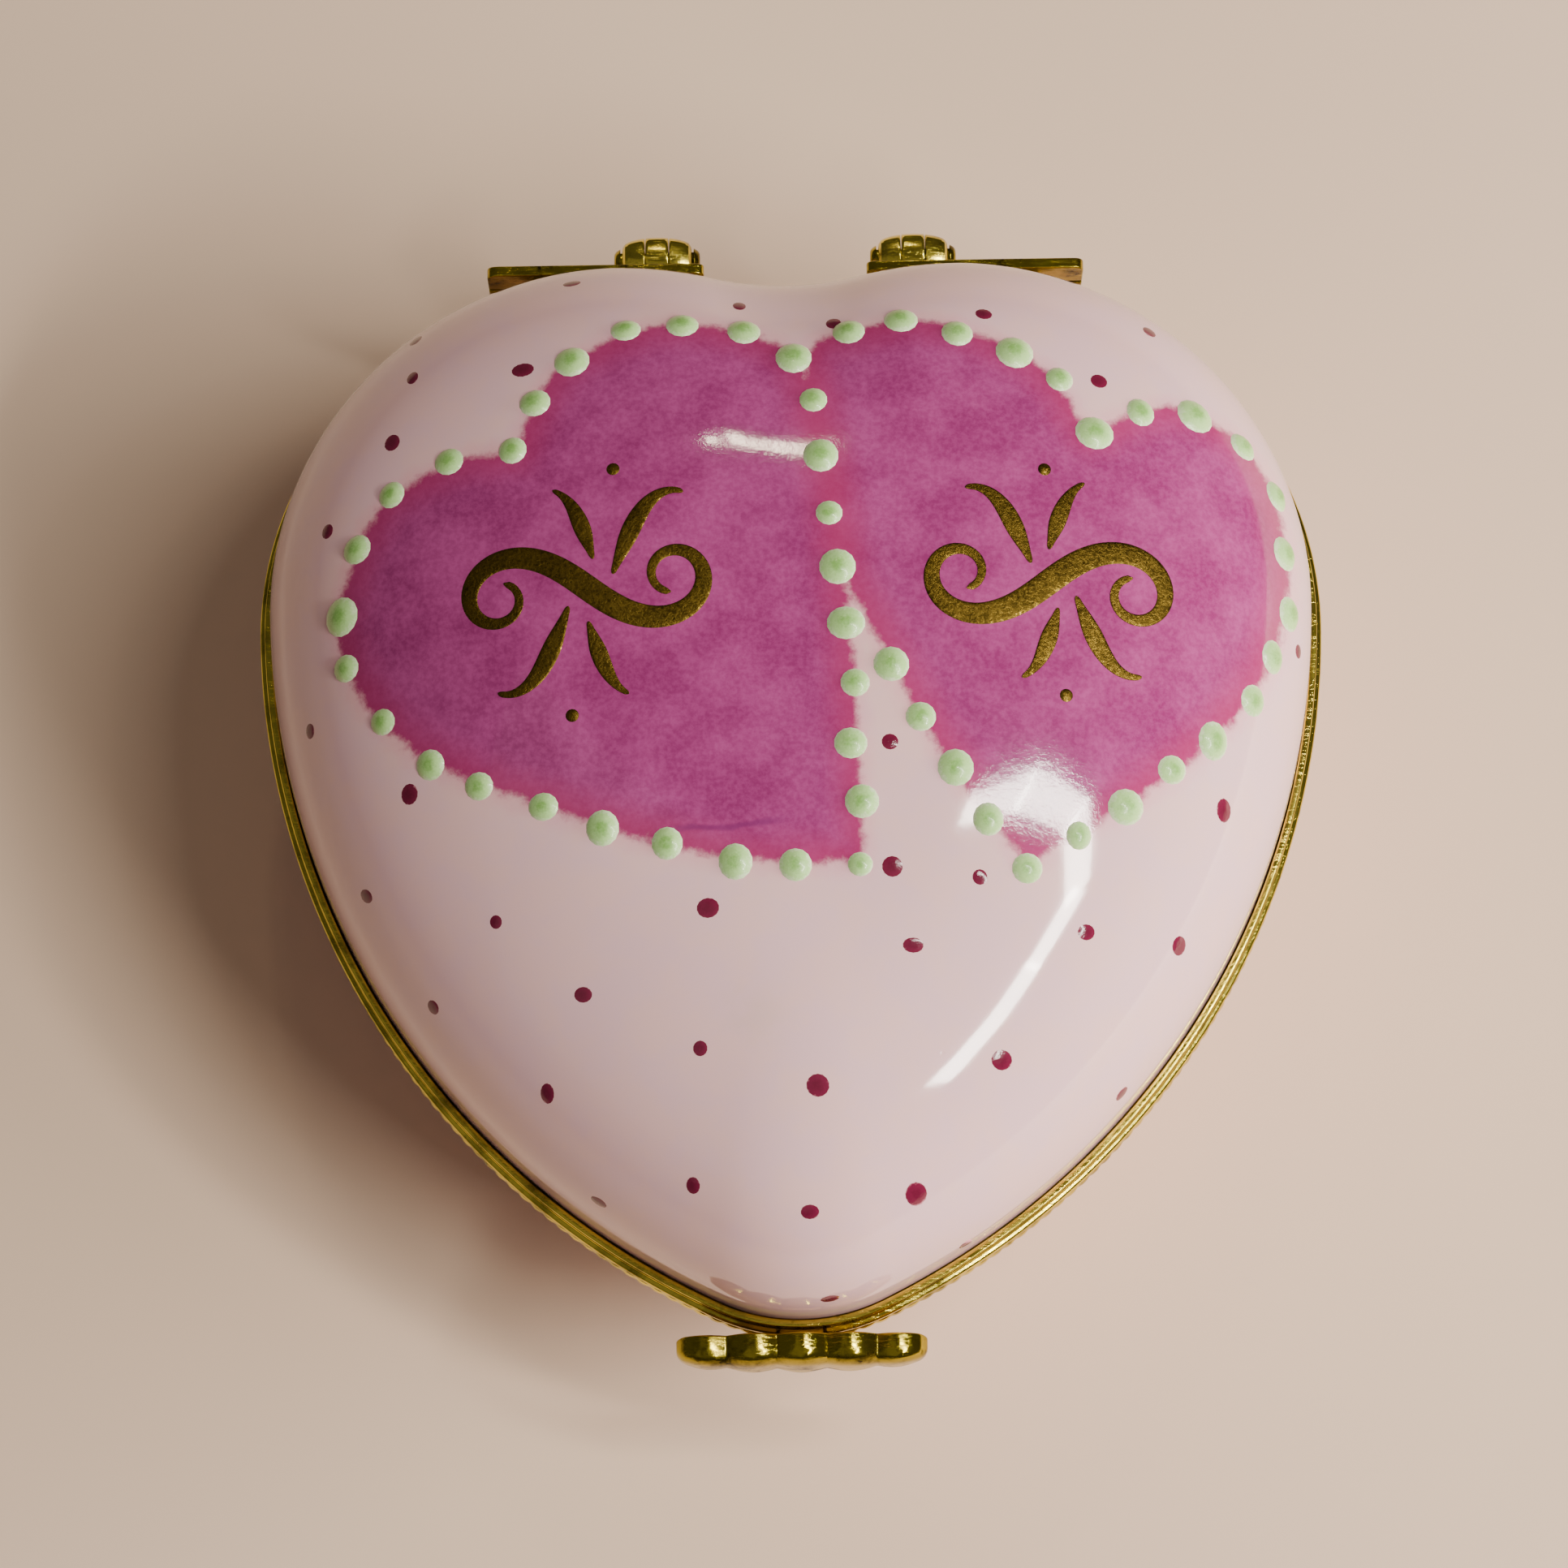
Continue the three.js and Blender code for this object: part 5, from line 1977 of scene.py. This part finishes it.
@dataclass(frozen=True)
class Studio:
    """A pale floor, soft light mostly from the right, and a long lens high over the heart's point."""

    elevation: float = 75.0
    distance: float = 0.32
    lens: float = 136.6
    roll: float = 0.87
    aim: Place = (-0.0005, -0.0006, 0.018)
    floor_size: float = 3.0
    floor_colour: Colour = (0.74, 0.56, 0.42)
    strip_places: tuple[Pair, ...] = ((104, 74), (96, 66), (85, 55), (73, 47), (60, 47), (43, 44))
    strip_widths: tuple[float, ...] = (0.024, 0.026, 0.030, 0.032, 0.036)
    strip_distance: float = 0.45
    strip_radiance: float = 56.0
    strip_colour: Colour = (1.0, 0.93, 0.84)
    back_lamps: tuple[Lamp, ...] = (
        Lamp("back lamp left", 185.2, 53.3, 0.60, (0.012, 0.016), 0.0, 0.035, (1.0, 0.84, 0.6)),
        Lamp("back lamp right", 180.7, 52.8, 0.60, (0.020, 0.027), 0.0, 0.09, (1.0, 0.84, 0.6)),
    )
    side_lamp: Lamp = Lamp("side lamp", 80.0, 16.0, 0.34, (0.30, 0.14), 0.0, 2.0, (1.0, 0.94, 0.86), mirrored=False)
    fill: Lamp = Lamp("fill", -30.0, 60.0, 0.9, (1.1, 1.1), 0.0, 0.6, (1.0, 0.90, 0.82))
    sky: Colour = (1.0, 0.92, 0.86)
    sky_strength: float = 0.085

    @property
    def lamps(self) -> tuple[Lamp, ...]:
        """The key, a bent strip of five panels from over the box round to its right, then the other lamps.

        Each panel spans from one of the strip's places to the next, a little over, and all are equally
        bright for their size.

        Returns:
            Every lamp, ready to be placed.
        """
        panels = []
        for i, width in enumerate(self.strip_widths):
            start, end = (direction(*place) for place in self.strip_places[i : i + 2])
            middle = (start + end).normalized()
            azimuth = math.degrees(math.atan2(middle.x, -middle.y))
            elevation = math.degrees(math.asin(middle.z))
            across = (-middle).to_track_quat("-Z", "Y").inverted() @ (end - start)
            turn = math.degrees(math.atan2(across.y, across.x))
            size = ((end - start).length * self.strip_distance * 1.08, width)
            power = self.strip_radiance * math.pi * size[0] * size[1]
            name = f"key panel {i + 1}"
            panels.append(Lamp(name, azimuth, elevation, self.strip_distance, size, turn, power, self.strip_colour))
        return (*panels, *self.back_lamps, self.side_lamp, self.fill)

    def build(self) -> None:
        """Adds the floor, the sky, the lamps and the camera."""
        self._floor()
        self._sky()
        aim = Vector(self.aim)
        for lamp in self.lamps:
            lamp.place(aim)
        self._camera(aim)

    def _floor(self) -> None:
        """A wide flat square under the foot, in a faintly cloudy matt finish."""
        half = self.floor_size / 2
        mesh = bpy.data.meshes.new("floor")
        corners = [(-half, -half, 0.0), (half, -half, 0.0), (half, half, 0.0), (-half, half, 0.0)]
        mesh.from_pydata(corners, [], [(0, 1, 2, 3)])
        material, g = new_material("pale floor")
        position = g.position()
        tone = g.mix(g.noise(position, 30.0, 3.0, 0.5), self.floor_colour, tuple(c * 1.06 for c in self.floor_colour))
        finish_surface(g, {"Base Color": tone, "Roughness": 0.85, "Specular IOR Level": 0.2})
        mesh.materials.append(material)
        floor = bpy.data.objects.new("floor", mesh)
        bpy.context.scene.collection.objects.link(floor)

    def _sky(self) -> None:
        """Even pale light from all round."""
        world = bpy.data.worlds.new("studio")
        world.use_nodes = True
        background = world.node_tree.nodes["Background"]
        background.inputs["Color"].default_value = (*self.sky, 1.0)
        background.inputs["Strength"].default_value = self.sky_strength
        bpy.context.scene.world = world

    def _camera(self, aim: Vector) -> None:
        """The camera, looking down on the lid from in front of the clasp.

        Args:
            aim: Where it looks.
        """
        data = bpy.data.cameras.new("camera")
        data.lens = self.lens
        data.sensor_width = 36.0
        data.clip_start, data.clip_end = 0.01, 20.0
        camera = bpy.data.objects.new("camera", data)
        away = direction(0.0, self.elevation)
        camera.location = aim + away * self.distance
        camera.rotation_mode = "QUATERNION"
        spin = Quaternion((0.0, 0.0, 1.0), -math.radians(self.roll))
        camera.rotation_quaternion = (-away).to_track_quat("-Z", "Y") @ spin
        bpy.context.scene.collection.objects.link(camera)
        bpy.context.scene.camera = camera


def main() -> None:
    """Builds the box in order: studio, porcelain, brass, hinges, clasp, decoration."""
    logging.basicConfig(level=logging.INFO, format="%(name)s: %(message)s")
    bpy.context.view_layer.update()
    Studio().build()
    finishes = Finishes()
    levels = Levels.from_frame()
    lid = LidShell(levels)
    lid.build(finishes)
    decoration = Decoration(lid.dome, finishes)
    bowl = BowlShell(levels)
    bowl.build(finishes)
    bowl.spots(decoration)
    BrassChannel(levels, 1).build("lid_rim_channel", "lid_rim", LID, finishes.brass)
    BrassChannel(levels, -1).build("base_rim_channel", "base_rim", BASE, finishes.brass)
    for side in Side:
        Hinge(levels, side).build(finishes)
    Clasp(levels).build(finishes)
    decoration.heart_dots()
    decoration.lid_spots()
    decoration.gold_sprays()


if __name__ == "__main__":
    main()
